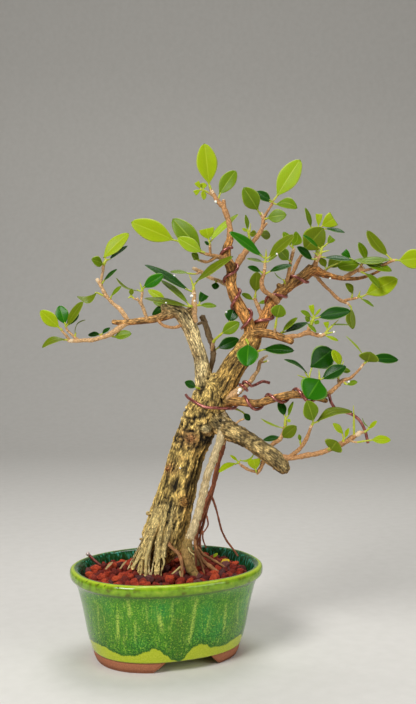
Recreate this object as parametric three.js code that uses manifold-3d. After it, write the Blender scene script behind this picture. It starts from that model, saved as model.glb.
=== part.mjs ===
// A small-leaved fig grown as a bonsai, in a glazed oval pot. Millimetres, +Z up.
// +X runs along the pot's long side. The origin is under the middle of the whole part, at table level.
import * as THREE from "three";
import { mergeVertices } from "three/addons/utils/BufferGeometryUtils.js";
import Module from "manifold-3d";

const wasm = await Module();
wasm.setup();

// ---- driving sizes ----

const seatGap = 0.3; // between pieces that touch
const scrapVolume = 9; // cubic mm

const potFloor = 20; // inside, above the table
const potSize = {
  halfLength: 110, // rim, outside
  halfWidth: 91.2,
  height: 102,
  roundness: 2.24, // 2 is an ellipse, more is squarer
  sides: 32,
  // [inset from the rim's outside, height] from the underside up, over the rolled rim and down inside
  outside: [[24, 12.5], [18.9, 31], [16.1, 46], [13.2, 61], [8.6, 80], [3.6, 89], [0, 94.5], [0.8, 100.4],
    [3.6, 102]],
  inside: [[7.6, 101.4], [11, 97], [12.4, 91], [17, 66], [22, 40], [28, 24], [36, potFloor]],
};

const footSize = {
  height: 12.5,
  sunk: 2, // into the pot's underside
  outerBottomInset: 29.6,
  outerMiddleInset: 26.4,
  innerInset: 42,
  gapAtTop: 52, // between the two feet, along the pot
  gapAtBottom: 78,
};

const drain = {
  radius: 6,
  fromMiddle: 42,
  sides: 16,
  meshSide: 20,
  meshThickness: 1.2,
  meshBars: 3,
  meshBar: 2.4,
};

const soilSize = { height: 86, wallGap: 1, sides: 24 };

const gritSize = {
  edge: 15.5, // from the rim's outside to the outermost lumps
  edgeHeight: 2.5,
  valley: 3.4, // above the soil, between the lumps
  lumpLow: 7.4, // above the soil, at a lump's top
  lumpHigh: 11,
  moundHeight: 2, // more in the middle than at the edge
  across: 24, // steps of the lattice, along the pot and from front to back
  deep: 18,
  shift: 0.2, // of a step
  seed: 7,
};

const potTurn = 0.42; // radians that the pot stands turned under the tree, as seen from the front

// Places on the tree are written as [across, down, back]. Across and down are read off the photograph in
// pixels of its 416 x 704 frame, and back is how far behind the pot's middle the point lies, in mm.
const sight = { middleAcross: 208, middleDown: 352, focal: 1006.5, tilt: 0.04, eyeX: 46.7, eyeBack: 1137.4,
  eyeHeight: 389.3 };

// ---- small helpers ----

function seeded(seed) {
  let state = seed >>> 0;
  return () => {
    state = (Math.imul(state, 1664525) + 1013904223) >>> 0;
    return state / 4294967296;
  };
}

function spot([across, down, back]) {
  const side = (across - sight.middleAcross) / sight.focal;
  const rise = (sight.middleDown - down) / sight.focal;
  const ahead = Math.cos(sight.tilt) + rise * Math.sin(sight.tilt);
  const up = rise * Math.cos(sight.tilt) - Math.sin(sight.tilt);
  const reach = (back + sight.eyeBack) / ahead;
  return new THREE.Vector3(sight.eyeX + side * reach, back, sight.eyeHeight + up * reach);
}

function solid(geometry) {
  const bare = geometry.clone();
  bare.deleteAttribute("normal");
  bare.deleteAttribute("uv");
  const merged = mergeVertices(bare, 1e-4);
  const corners = merged.index.array;
  const triangles = [];
  for (let i = 0; i < corners.length; i += 3) {
    const [a, b, c] = corners.slice(i, i + 3);
    if (a !== b && b !== c && c !== a) triangles.push(a, b, c);
  }
  return new wasm.Manifold(new wasm.Mesh({
    numProp: 3,
    vertProperties: new Float32Array(merged.attributes.position.array),
    triVerts: new Uint32Array(triangles),
  }));
}

function joined(solids) {
  return solids.reduce((whole, next) => whole.add(next));
}

// The one body of a solid. What a cut leaves over, smaller than a bud, is dropped.
function mainBody(name, solidShape) {
  const [main, ...rest] = solidShape.decompose().sort((a, b) => b.volume() - a.volume());
  const loose = rest.find((body) => body.volume() > scrapVolume);
  if (loose) throw new Error(`${name} has a loose piece near ${loose.boundingBox().max}`);
  return main;
}

function geometryOf(body) {
  const { vertProperties, triVerts, numProp } = body.getMesh();
  const geometry = new THREE.BufferGeometry();
  const places = new Float32Array(triVerts.length * 3);
  triVerts.forEach((vertex, i) => {
    for (let axis = 0; axis < 3; axis += 1) places[i * 3 + axis] = vertProperties[vertex * numProp + axis];
  });
  geometry.setAttribute("position", new THREE.BufferAttribute(places, 3));
  return mergeVertices(geometry, 1e-5);
}

function piece(name, body, finish) {
  const geometry = geometryOf(body);
  geometry.computeVertexNormals();
  const mesh = new THREE.Mesh(geometry, new THREE.MeshStandardMaterial(finish));
  mesh.name = name;
  return mesh;
}

// A lathe turned about +Z and pressed into the pot's rounded oval. The profile is [inset, height].
function oval(profile, { closed = false, sides = potSize.sides, turn: turned = 0 } = {}) {
  const { halfLength, halfWidth, roundness } = potSize;
  const points = profile.map(([inset, height]) => new THREE.Vector2(inset, height));
  if (!closed) {
    points.unshift(new THREE.Vector2(halfLength, profile[0][1]));
    points.push(new THREE.Vector2(halfLength, profile[profile.length - 1][1]));
  } else {
    points.push(points[0].clone());
  }
  const lathe = new THREE.LatheGeometry(points.map((p) => new THREE.Vector2(halfLength - p.x, p.y)), sides);
  const place = lathe.attributes.position;
  for (let i = 0; i < place.count; i += 1) {
    const reach = Math.hypot(place.getX(i), place.getZ(i));
    const turn = Math.atan2(place.getX(i), place.getZ(i));
    const inset = halfLength - reach;
    const shorter = Math.max(halfWidth - inset, 0);
    const cos = Math.cos(turn);
    const sin = Math.sin(turn);
    const across = Math.sign(cos) * Math.abs(cos) ** (2 / roundness) * reach;
    const deep = Math.sign(sin) * Math.abs(sin) ** (2 / roundness) * shorter;
    place.setXYZ(i, across, deep, place.getY(i));
  }
  lathe.rotateZ(turned);
  return solid(lathe);
}

function bar(points, width) { // a prism along Y from an outline in X and Z
  const outline = new THREE.Shape(points.map(([x, z]) => new THREE.Vector2(x, z)));
  const geometry = new THREE.ExtrudeGeometry(outline, { depth: width, bevelEnabled: false });
  geometry.rotateX(Math.PI / 2);
  geometry.translate(0, width / 2, 0);
  return solid(geometry);
}

// ---- pot ----

function makePot() {
  const { height, sunk, outerBottomInset, outerMiddleInset, innerInset, gapAtTop, gapAtBottom } = footSize;
  const wall = oval([...potSize.outside, ...potSize.inside]);
  const footRing = oval([[outerBottomInset, 0], [outerMiddleInset, height * 0.5], [24, height],
    [24, height + sunk], [innerInset, height + sunk], [innerInset, 0]], { closed: true });
  const between = bar([[-gapAtBottom / 2, -1], [gapAtBottom / 2, -1], [gapAtTop / 2, height],
    [gapAtTop / 2, height + 3 * sunk], [-gapAtTop / 2, height + 3 * sunk], [-gapAtTop / 2, height]],
  4 * potSize.halfWidth);
  let pot = wall.add(footRing.subtract(between));
  for (const side of [-1, 1]) {
    const hole = new THREE.CylinderGeometry(drain.radius, drain.radius, 40, drain.sides);
    hole.rotateX(Math.PI / 2);
    hole.translate(side * drain.fromMiddle, 0, 15);
    pot = pot.subtract(solid(hole));
  }
  return pot;
}

function makeDrainMesh(side) { // a plastic lattice laid over a drain hole, under the soil
  const { meshSide, meshThickness, meshBars, meshBar, fromMiddle } = drain;
  const pitch = (meshSide - meshBar) / (meshBars - 1);
  const slab = (width, thickness, x, y) => {
    const box = new THREE.BoxGeometry(width, width, thickness);
    box.translate(side * fromMiddle + x, y, potFloor + seatGap + meshThickness / 2);
    return solid(box);
  };
  let lattice = slab(meshSide, meshThickness, 0, 0);
  for (let i = 0; i < meshBars - 1; i += 1) {
    for (let k = 0; k < meshBars - 1; k += 1) {
      const [x, y] = [i, k].map((step) => (step + 1 - meshBars / 2) * pitch);
      lattice = lattice.subtract(slab(pitch - meshBar, 2 * meshThickness, x, y));
    }
  }
  return lattice;
}

// ---- wood ----

// A tapering round limb through stations [across, down, back, radius], its ends domed. All radii grow
// by the same amount for the hollow that it leaves in what it passes through.
function limb(stations, { sides = 8, step = 9, grow = 0, flutes = null, squash = 1 } = {}) {
  const curve = new THREE.CatmullRomCurve3(stations.map(spot), false, "centripetal");
  const perStation = 12;
  const lengths = curve.getLengths((stations.length - 1) * perStation);
  const total = lengths[lengths.length - 1];
  const marks = stations.map((_, i) => lengths[i * perStation] / total);
  const rings = Math.max(2, Math.round(total / step));
  const frames = curve.computeFrenetFrames(rings, false);
  const radiusAt = (along) => {
    let i = 1;
    while (i < marks.length - 1 && along > marks[i]) i += 1;
    const share = THREE.MathUtils.clamp((along - marks[i - 1]) / (marks[i] - marks[i - 1]), 0, 1);
    return THREE.MathUtils.lerp(stations[i - 1][3], stations[i][3], share) + grow;
  };
  const geometry = new THREE.CylinderGeometry(1, 1, 1, sides, rings);
  const place = geometry.attributes.position;
  for (let i = 0; i < place.count; i += 1) {
    const along = place.getY(i) + 0.5;
    const ring = Math.round(along * rings);
    const spread = Math.hypot(place.getX(i), place.getZ(i));
    const centre = curve.getPointAt(ring / rings);
    const normal = frames.normals[ring];
    const binormal = frames.binormals[ring];
    if (spread < 0.5) { // the middle of an end cap
      const dome = 0.35 * radiusAt(along) + grow;
      centre.addScaledVector(frames.tangents[ring], along > 0.5 ? dome : -dome);
      place.setXYZ(i, centre.x, centre.y, centre.z);
    } else {
      const out = normal.clone().multiplyScalar(place.getX(i)).addScaledVector(binormal, -place.getZ(i));
      let radius = radiusAt(along);
      if (flutes) radius *= flutes(out, along);
      out.multiplyScalar(radius);
      out.y *= squash;
      place.setXYZ(i, centre.x + out.x, centre.y + out.y, centre.z + out.z);
    }
  }
  return solid(geometry);
}

// Each limb's stations are [across, down, back, radius]. The first ones lie inside the limb it grows from.
const limbs = {
  trunk: [[156, 592, 17, 27], [157, 577, 17, 30], [160, 557, 17, 28.5], [163.5, 541, 17, 25.2],
    [169, 521, 16, 23], [175, 500, 15, 22.3], [180, 480, 14, 20.4], [184, 465, 14, 20], [188, 450, 13, 19.4],
    [197, 430, 12, 20.5], [204, 413, 11, 21], [211, 398, 10, 19.5], [214, 384, 9, 15], [214, 376, 9, 8]],
  leftLimb: [[207, 396, 10, 12], [203, 374, 10, 9.4], [201, 360, 8, 8], [198, 350, 6, 8], [195, 342, 5, 8],
    [192, 332, 4, 8.4], [187, 322, 3, 8.8], [180, 313, 2, 8], [171, 309, 1, 7.4], [163, 306.5, 0, 6.2]],
  limbKnob: [[184, 320, 4, 7], [191, 311, 6, 6], [194, 306, 6, 3.6]],
  deadBranch: [[209, 374, 18, 3.2], [213, 357, 22, 3], [212, 345, 22, 3.2], [207, 330, 19, 3.4],
    [202, 316, 16, 3]],
  deadSpur: [[207, 332, 19, 2], [203, 323, 12, 1.8], [198, 324, 7, 1.6]],
  loopTwig: [[157, 319, -4, 1.8], [163, 325, -6, 1.7], [170, 327.5, -5, 1.7], [177, 327, -2, 1.8],
    [185, 323, 1, 2]],
  leftBranch: [[174, 312, 1, 6.4], [160, 317.5, -2, 4.6], [145, 320.5, -6, 3.9], [130, 322, -10, 3.5],
    [121, 322.6, -12, 3.2], [112.5, 322, -14, 2.8]],
  rightLimb: [[215, 400, 9, 15], [224, 384, 8, 14.5], [235, 365, 6, 13.4], [246, 350, 4, 12.4],
    [252, 339, 2, 11], [256, 331, 2, 7.6]],
  apexBranch: [[251, 340, 2, 8], [249, 325, 0, 6.6], [241, 309, -3, 6.6], [234, 295, -4, 6.2],
    [231, 283, -3, 5.8], [231.5, 270, -2, 5.8], [227, 258, 0, 5.1], [227, 248, 2, 5], [230, 240, 3, 4.2],
    [230, 231, 4, 3.4]],
  upperLimb: [[251, 342, 3, 8], [258, 331, 3, 7.2], [264, 320, 4, 6.4], [271, 305, 7, 6.2],
    [279, 294, 10, 6.4],
    [290, 285, 14, 6.2], [303, 277, 18, 6], [313, 270, 21, 6.4], [322, 273.5, 24, 4.4], [335, 277, 27, 3],
    [345, 278.5, 29, 2.8], [357, 278.5, 31, 2.2], [369, 275.5, 34, 1.8], [382, 269.5, 37, 1.6]],
  upperStrand: [[282, 291, 6, 2.6], [291, 282, 9, 2.6], [300, 275, 13, 2.6], [310, 265.5, 18, 2.6]],
  upperStub: [[281, 294, 10, 3.4], [278.5, 284, 9, 3]],
  middleBranch: [[250, 337, 0, 6.4], [258, 333, -6, 5.4], [270, 334, -12, 4.8], [283, 338, -18, 4.2],
    [292.5, 342, -23, 3.4]],
  wiredBranch: [[224, 402, 6, 7], [233, 401, -2, 5.8], [243, 402, -8, 4.8], [257, 403.5, -13, 4.6],
    [276, 398, -19, 4.4], [295, 394.5, -26, 4.4], [312, 396.5, -32, 3.9], [327, 401, -37, 2.8]],
  lowBranch: [[214, 416, 6, 14], [224, 427, -2, 12], [233, 432.5, -9, 11], [248, 440, -18, 9.6],
    [261, 449, -26, 9.6], [274, 458, -33, 9.8], [282, 466, -38, 8.4], [286, 471.5, -41, 5.6]],
  lowSpur: [[226, 436, -4, 2.6], [223, 444, -9, 1.8]],
  lowSpurUnder: [[272, 460, -33, 1.6], [274, 469.5, -34, 1.1]],
  lowSpurTop: [[234, 426, -8, 1.4], [239, 421, -10, 1.1], [244, 419, -12, 0.9]],
  propRoot: [[222, 414, 2, 5.4], [223, 424, -7, 4.8], [220, 440, -10, 4.5], [213, 460, -11, 4.4],
    [206, 480, -12, 4.2], [201, 498, -13, 4.3], [196, 515, -14, 4.7], [191, 530, -16, 5.2],
    [187, 547, -18, 5.8],
    [189, 562, -20, 5.8], [193, 571, -21, 4.8], [197, 579, -22, 3.2], [198, 588, -21, 2.4]],
  knobLeft: [[162, 515, 12, 9], [151, 513.5, 8, 6], [147, 513, 7, 4]],
  knobLow: [[152, 541, 12, 6], [143, 539, 9, 4.4], [139.5, 538.5, 8, 3]],
  knobHigh: [[192, 418, 8, 8], [184.5, 415, 6, 3.6]],
  knobFront: [[190, 438, 8, 14], [192, 437, -8, 5]],
  scarUpper: [[206, 430, 2, 9], [206, 429, -10, 5]],
};

// Roots that spread from the trunk's foot into the soil.
const rootFingers = [
  [[146, 540, 12, 8], [137, 549, 4, 4.6], [130, 563, -6, 2.6], [126, 574, -12, 1.8]],
  [[150, 545, 6, 8], [140, 553, -4, 4], [135, 566, -13, 2.6], [133, 577, -18, 1.8]],
  [[156, 540, 4, 8], [149, 553, -10, 4.6], [146.5, 567, -20, 3.4], [146, 578, -26, 2]],
  [[160, 545, 2, 8], [157, 557, -12, 4.2], [156, 569, -22, 2.6], [155, 580, -28, 1.8]],
  [[166, 545, 4, 8], [165, 556, -12, 4], [165, 567, -22, 2.4], [166, 578, -28, 1.6]],
  [[165, 540, 6, 7], [171, 547, -10, 3.8], [178, 553, -19, 3.2], [181, 563, -26, 2.6], [181.5, 574, -31, 1.6]],
  [[176, 540, 12, 8], [181, 551, -2, 3.6], [179, 566, -12, 2.4], [175, 579, -18, 1.6]],
  [[176, 545, 20, 9], [191, 556, 22, 4.2], [203, 566, 22, 3], [216, 574, 18, 2]],
  [[173, 545, 30, 9], [188, 553, 42, 4.4], [203, 559, 50, 2.8], [214, 566, 52, 1.8]],
  [[163, 540, 34, 9], [166, 551, 50, 4.6], [172, 560, 62, 2.8], [176, 569, 68, 1.8]],
  [[152, 540, 30, 9], [146, 551, 44, 4.6], [138, 559, 54, 2.8], [131, 568, 58, 1.8]],
  [[146, 545, 22, 8], [133, 551, 24, 4.2], [122, 558, 26, 2.8], [113, 567, 26, 1.8]],
];

// Thin red roots that hang from the low branch, behind the prop root, and fan out over the soil.
const redRoots = [
  [[222, 432, 2, 4], [224, 444, 6, 3.2], [219, 460, 8, 2.8], [216, 475, 10, 2.6], [213, 490, 12, 2.8],
    [203, 513, 13, 2.8], [199, 525, 14, 3], [196, 540, 16, 3.2], [197, 554, 18, 3.4], [203, 566, 18, 2.8],
    [208, 580, 16, 2]],
  [[196, 546, 16, 2.6], [205, 560, 10, 2.6], [212, 566, 6, 2.5], [220, 573, 2, 2.2], [228, 580, -2, 1.8]],
  [[198, 550, 17, 1.8], [205, 556.5, 14, 1.5], [214, 561, 12, 1.2], [222, 571, 10, 1]],
  [[211, 494, 12, 1.6], [216, 509, 14, 1.2], [222, 531, 17, 1.2], [229, 543, 20, 1.2], [236, 552, 22, 1.2],
    [240, 564, 20, 1.1]],
];

function trunkFlutes(out, along) { // grown-together roots, deepest at the foot
  const turn = Math.atan2(out.y, out.x);
  const depth = 0.05 + 0.07 * Math.max(0, 1 - 2.4 * along);
  const twist = turn + 1.4 * along;
  return 1 + depth * (0.6 * Math.cos(5 * twist + 1) + 0.5 * Math.cos(8 * twist + 4) + 0.3 * Math.cos(3 * turn));
}

const limbShape = {
  trunk: { sides: 12, step: 20, flutes: trunkFlutes, squash: 0.92 },
  leftLimb: { sides: 7, step: 13 },
  rightLimb: { sides: 8, step: 16, squash: 0.9 },
  lowBranch: { sides: 7, step: 13 },
  apexBranch: { sides: 6, step: 13 },
  upperLimb: { sides: 6, step: 13 },
  propRoot: { sides: 6, step: 17 },
};

function thinLimb(stations) {
  const thickest = Math.max(...stations.map((station) => station[3]));
  return thickest < 3 ? { sides: 4, step: 17 } : { sides: 5, step: 15 };
}

function growWood(grow) {
  const grown = Object.entries(limbs).map(([name, stations]) => {
    const shape = limbShape[name] ?? thinLimb(stations);
    return limb(stations, { ...shape, grow });
  });
  const fingers = rootFingers.map((stations) => limb(stations, { sides: 4, step: 22, grow }));
  const roots = redRoots.map((stations) => limb(stations, { sides: 4, step: 24, grow }));
  return joined([...grown, ...fingers, ...roots]);
}

// ---- leafy stems ----

const leafShape = {
  thickness: 1.4, // at the midrib, thinning to the edge
  fold: 0.22, // how far the halves lift from the midrib, as a share of the half width
  arch: 0.07, // of the length
  stalk: 0.8, // half its width
  sunk: 1.1, // how far the stalk goes past the middle of its twig
};

// Each leaf is [base across, base down, tip across, tip down, lean back in mm, width, roll in degrees, bend].
// Roll turns the upper face from the viewer to the sky, and bend curves the midrib sideways, in mm.
// The stem starts inside the wood that carries it, and the wood's own hollow cuts it to its seat. On a direct
// stem the leaf's own stalk starts there.
const stems = {
  left_tip_upper: {
    twig: [[67.5, 331, -29, 1.1], [66, 327, -30, 1], [65.5, 324, -31, 0.9]],
    leaves: [[65, 324, 59.5, 305.5, 6, 14, 5], [67, 326, 83, 301.5, -6, 15.5, 48],
      [67, 326, 78.5, 313, 12, 10, 25]],
  },
  left_tip_lower: {
    direct: true,
    twig: [[63, 332, -32, 1.1], [60.5, 328.5, -33, 1]],
    leaves: [[59, 327.5, 39.5, 310, -6, 14, 8]],
  },
  left_low_leaf: {
    direct: true,
    twig: [[69, 341, -28, 1], [66, 339.6, -30, 0.8]],
    leaves: [[65, 339.4, 42, 347.5, -8, 13, 56, -3]],
  },
  left_curl: {
    direct: true,
    twig: [[76, 341, -25, 0.9], [75, 335, -27, 0.8]],
    leaves: [[75, 334, 85.5, 319.8, -4, 9, 80, 4]],
  },
  left_fork_pair: {
    direct: true,
    twig: [[101, 339, -19, 1], [101, 334.5, -13, 0.9]],
    leaves: [[100, 334.6, 88, 334.6, 6, 8, 45]],
  },
  left_under_leaf: {
    direct: true,
    twig: [[113, 332, -15, 0.9], [113, 336.5, -13, 0.8]],
    leaves: [[114, 337, 131.5, 333.5, -6, 11, 30]],
  },
  left_riser_top: {
    twig: [[103, 272, 4, 1.1], [103.5, 266, 5, 1.3], [105, 262, 5, 1.2], [107, 259.5, 5, 1]],
    leaves: [[103.5, 258, 128.7, 233, 4, 18, 28], [103, 264, 91.5, 259.5, -18, 12, 25],
      [109, 260, 127.7, 245.3, 12, 12.5, 60]],
  },
  left_riser_side: {
    direct: true,
    twig: [[101.5, 285, 1.5, 0.9], [103, 282, -1, 0.8]],
    leaves: [[103.5, 281, 117, 269, -5, 9, 58]],
  },
  left_riser_low: {
    direct: true,
    twig: [[107, 298, -2, 0.9], [103, 295.6, -5, 0.8], [98, 293, -7, 0.8]],
    leaves: [[97, 292.4, 77, 296.5, -4, 13, 52, 7]],
  },
  left_riser_inner: {
    direct: true,
    twig: [[110, 301, -3, 0.9], [111, 297, -6, 0.8]],
    leaves: [[111.2, 296, 121.5, 286, -3, 8, 52]],
  },
  short_riser_tip: {
    twig: [[142.3, 294, -16, 1], [142.5, 290, -17, 0.9], [143, 288.5, -17, 0.8]],
    leaves: [[143.5, 287.5, 163.5, 274.5, -7, 12.5, 5], [139, 291, 116, 277.5, 5, 12, 80, 5]],
  },
  knob_back: {
    twig: [[173, 309, 6, 1.3], [169, 304, 17, 1]],
    leaves: [[166, 302, 148, 289.5, 8, 11, 35], [167, 304, 153, 301, 4, 10, 20],
      [168, 305, 152, 315, 5, 10, 30]],
  },
  pale_stub_top: {
    twig: [[194, 294, -6, 1.8], [193.8, 289, -6, 1.5], [193.5, 286, -6, 1.1]],
    leaves: [[195.5, 282, 233, 256, -12, 20, 68, 3], [189, 291, 145, 264.5, -8, 19, 70, -3]],
    buds: [[193, 287, 189.3, 275, 2]],
  },
  pale_stub_left: {
    twig: [[194, 307, -5, 1.4], [190.5, 306, -10, 1.1]],
    leaves: [[188.5, 304, 161, 279.5, 8, 17, 74, -2], [188, 306.5, 144, 298, -4, 18, 70]],
  },
  pale_stub_right: {
    twig: [[195, 306, -4, 1.2], [199, 305, -7, 0.9]],
    leaves: [[200, 305.5, 216.5, 306, 3, 9.5, 50]],
    cut: [[199.5, 302.5, 204.5, 294, 5, 11]],
  },
  high_twig_leaf: {
    direct: true,
    twig: [[201, 272, 15, 0.9], [195, 274, 10, 0.8], [189, 273.4, 8, 0.8]],
    leaves: [[188, 273, 170, 271.5, 4, 8, 55]],
  },
  crown_twig_tip: {
    direct: true,
    twig: [[188, 246, -17, 1.2], [182, 243, -18, 1.1], [177, 240.5, -19, 1]],
    leaves: [[173.5, 240, 131, 222, -5, 22.6, 5]],
  },
  crown_twig_side: {
    twig: [[206, 254, -11, 1.1], [203.5, 252, -13, 1]],
    leaves: [[200, 248, 173.5, 219.5, 8, 19, 5], [201.5, 252, 177.5, 238, -9, 14.7, 10]],
  },
  crown_twig_low: {
    direct: true,
    twig: [[202, 261.5, -2, 1], [198, 259.6, -1, 0.8]],
    leaves: [[199, 259, 191.5, 253.5, -5, 8, 20]],
  },
  crown_twig_up: {
    twig: [[210, 247, -11, 1.1], [210, 243.5, -12, 1], [209.3, 241, -12, 0.9]],
    leaves: [[211, 241, 237.5, 213.5, 54, 19, 60]],
    cut: [[208.6, 239, 206.3, 228.5, -3, 17]],
  },
  apex_top: {
    direct: true,
    twig: [[211.7, 193, 8, 1.5], [210.2, 188, 8, 1.3], [209.4, 185.5, 8, 1.1]],
    leaves: [[209, 184, 204.5, 143, -3, 22.8, 5]],
  },
  apex_cut: {
    twig: [[213.5, 196, 7, 1], [206, 191.6, 2, 0.9], [201, 189.4, 0, 0.8]],
    leaves: [[203, 190.5, 203.8, 199.8, -3, 7, 30]],
    cut: [[200.5, 188.5, 196.5, 182, -1, 6], [200, 190, 194.5, 193.5, -2, 6]],
  },
  apex_right: {
    direct: true,
    twig: [[217.5, 202, 7, 1], [219, 197, 8, 0.9]],
    leaves: [[219.3, 194.5, 235.8, 170.3, 5, 17, 8]],
  },
  back_twig_tip: {
    twig: [[272.3, 204, 24, 1.2], [273.5, 200.5, 24, 1], [275.5, 198, 24, 0.9]],
    leaves: [[277, 196, 300.3, 159.5, -4, 23, 8], [276, 204.5, 297.5, 208, -8, 15, 30, 3],
      [270.5, 202.5, 256.5, 191, 10, 12, 20]],
  },
  back_twig_left: {
    direct: true,
    twig: [[262.5, 218, 21, 1], [260, 213.5, 19, 0.9], [258.5, 211.5, 18, 0.9]],
    leaves: [[257.8, 210, 243.5, 187.5, -18, 19.5, 5]],
  },
  back_twig_right: {
    direct: true,
    twig: [[263.5, 220, 21, 1], [267, 218.4, 18, 0.9]],
    leaves: [[267.5, 218, 286.5, 214.8, -9, 15.5, 15]],
  },
  back_twig_shoot: {
    twig: [[251.5, 246, 12, 1.3], [249.5, 239, 7, 1.1], [248, 231, 5, 1]],
    leaves: [[247.5, 230, 245.5, 214.5, -2, 7, 45]],
    buds: [[249.5, 236, 250.5, 223.5, 1]],
  },
  back_twig_behind: {
    direct: true,
    twig: [[258, 235, 18, 1], [258.6, 234, 26, 0.9]],
    leaves: [[260, 234.5, 270.5, 235.5, 7, 11, 10]],
  },
  front_twig_tip: {
    twig: [[265, 268, -16, 1.4], [265, 262, -17, 1.2], [266, 258.5, -17, 0.9]],
    leaves: [[262, 256.5, 229.3, 231.8, -14, 19, 56, 2], [268.5, 258, 294.5, 234.5, -8, 17, 55, 3],
      [263, 262, 246.5, 258.5, 4, 9, 65]],
  },
  front_twig_left: {
    direct: true,
    twig: [[264.5, 274, -15, 0.9], [261.5, 272, -17, 0.8]],
    leaves: [[261, 271.5, 247.5, 267, -5, 9, 45]],
  },
  front_twig_right: {
    direct: true,
    twig: [[264, 275, -14, 0.9], [267, 272.8, -17, 0.8]],
    leaves: [[268.5, 271.8, 292, 264.8, -3, 12, 58]],
  },
  middle_twig_tip: {
    twig: [[257.8, 306.5, 14, 1.9], [255, 299, 18, 1.5], [255.4, 294, 18, 1]],
    leaves: [[255.7, 292, 257.2, 271.5, -6, 15, 8], [253, 299.5, 241.5, 293.8, -4, 8, 40]],
  },
  rising_left_tip: {
    twig: [[294, 250, 0, 1.4], [292.6, 247, -1, 1]],
    leaves: [[292, 246, 296.5, 231.5, -7, 13, 30, -5], [290.5, 246.5, 283.5, 231.5, 4, 11, 30]],
  },
  rising_left_side: {
    direct: true,
    twig: [[291.3, 262.5, 3, 1], [289.3, 260.5, -1, 0.8]],
    leaves: [[288.5, 260, 278.3, 248.8, -8, 13, 10]],
  },
  rising_left_blade: {
    direct: true,
    twig: [[285.5, 286, 10, 1], [284.2, 281, 5, 0.8]],
    leaves: [[283.8, 280, 274.5, 272.3, 2, 8, 78, 2]],
  },
  rising_right_tip: {
    direct: true,
    twig: [[301.5, 256, 28, 1.4], [303.8, 251, 29, 1.2]],
    leaves: [[304.5, 250, 323.5, 228, -12, 26, 5]],
  },
  head_twig_tip: {
    twig: [[316.5, 261, 13, 1.9], [319, 256, 10, 1.6], [321, 251, 9, 1.3], [322.5, 247, 9, 1]],
    leaves: [[312.5, 260, 297, 246.8, -12, 12, 38], [319, 248, 303, 235, -14, 11, 62],
      [323.5, 257.5, 352, 260, -6, 14, 62]],
    cut: [[327.5, 243.5, 332.5, 237.5, 2, 9]],
  },
  head_twig_back: {
    twig: [[314, 269, 24, 2], [317, 255, 38, 1.8], [318, 240, 42, 1.5], [317.5, 229, 42, 1.2]],
    leaves: [[311, 228, 305.3, 207.5, -4, 11, 52], [325, 228.5, 345, 232.5, -5, 11, 58]],
    cut: [[318.5, 226, 319, 213.8, 2, 8], [322, 226, 334, 218.5, 2, 18]],
  },
  head_twig_right: {
    twig: [[322, 273, 24, 1.4], [327, 268.5, 34, 1.1]],
    leaves: [[328, 267.5, 341, 258, 6, 14, 20], [325.5, 267.5, 320, 257.5, 6, 9, 20]],
    buds: [[329, 270, 338.3, 263, -3]],
  },
  outer_twig_up: {
    twig: [[361.6, 265.5, 24, 1.1], [362.5, 261.5, 23, 0.9]],
    leaves: [[362.5, 259.5, 358.3, 242, 5, 12, 38], [359.5, 264, 337.5, 267, -4, 16, 20],
      [364.5, 262, 392, 271.3, -12, 15, 48, 3]],
  },
  outer_twig_tip: {
    twig: [[393, 260.5, 13, 1.2], [397, 260, 12, 0.9]],
    leaves: [[399, 260.5, 427, 258, -4, 21.5, 5], [391, 258.5, 354, 259.3, 8, 17, 60, 3],
      [388, 256.5, 367.3, 230, 12, 17, 42, 3]],
  },
  outer_twig_droop: {
    direct: true,
    twig: [[357.5, 270.5, 26.5, 0.9], [363.5, 272.8, 22, 0.8]],
    leaves: [[365, 273, 379.8, 288.5, -4, 12, 55, 4]],
  },
  outer_twig_cut: {
    direct: true,
    twig: [[352, 273.5, 27.5, 0.9], [352, 266, 33, 0.8], [351.5, 260, 34, 0.8]],
    cut: [[350.5, 258.5, 343.5, 251.5, 1, 9]],
  },
  hang_twig_tip: {
    twig: [[356, 298.2, 38, 1.1], [361.5, 296.6, 37, 0.9]],
    leaves: [[366, 294.5, 397.8, 278.8, -6, 21, 8], [361.5, 299, 374, 306.5, 3, 8, 58]],
  },
  hang_twig_curl: {
    direct: true,
    twig: [[351, 300, 39, 0.9], [352, 296, 36, 0.8]],
    leaves: [[352.7, 294, 344.8, 283.3, -2, 9, 35, -4]],
  },
  hang_twig_end: {
    direct: true,
    twig: [[348, 303.7, 41, 1.1], [351, 307, 40, 0.9]],
    leaves: [[351.5, 308.5, 353.5, 329.3, -5, 13, 38, -5]],
  },
  middle_branch_bud: {
    twig: [[309, 329, -29, 1.7], [311.5, 323, -30, 1.5], [313.5, 318.5, -31, 1.2]],
    leaves: [[318, 317.5, 350.5, 310.8, -7, 17, 38]],
    cut: [[313.5, 315.5, 311, 305, -1, 6]],
  },
  middle_branch_tip: {
    twig: [[320.5, 335.8, -34, 1.8], [325, 334, -35, 1.5], [327.5, 330.5, -36, 1.2]],
    leaves: [[331, 325, 350.5, 325, 3, 8, 78]],
    cut: [[327.3, 328.5, 326, 321.8, -1, 6]],
    buds: [[329.5, 329, 338.5, 319.8, 2], [326, 334.5, 335.5, 331.8, -5]],
  },
  middle_branch_pair: {
    twig: [[280.5, 337, -17, 1.1], [281.5, 332.5, -10, 0.9]],
    leaves: [[282.5, 331.5, 297.5, 317.5, -6, 11, 62], [284.5, 332.5, 307.5, 322.5, 4, 12, 55]],
  },
  middle_branch_round: {
    twig: [[274.5, 336, -14, 1.3], [275.3, 327, -19, 1], [276.5, 319.5, -21, 0.9]],
    leaves: [[276.8, 318, 280.2, 305, -10, 15.5, 5]],
  },
  crotch_stem: {
    twig: [[212, 350, 21, 1.6], [214, 341, 9, 1.3], [221, 334.3, 1, 1]],
    leaves: [[222, 333.5, 239.5, 322.3, -5, 13.6, 8], [229.5, 322, 233.5, 309, 4, 15, 10]],
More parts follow.
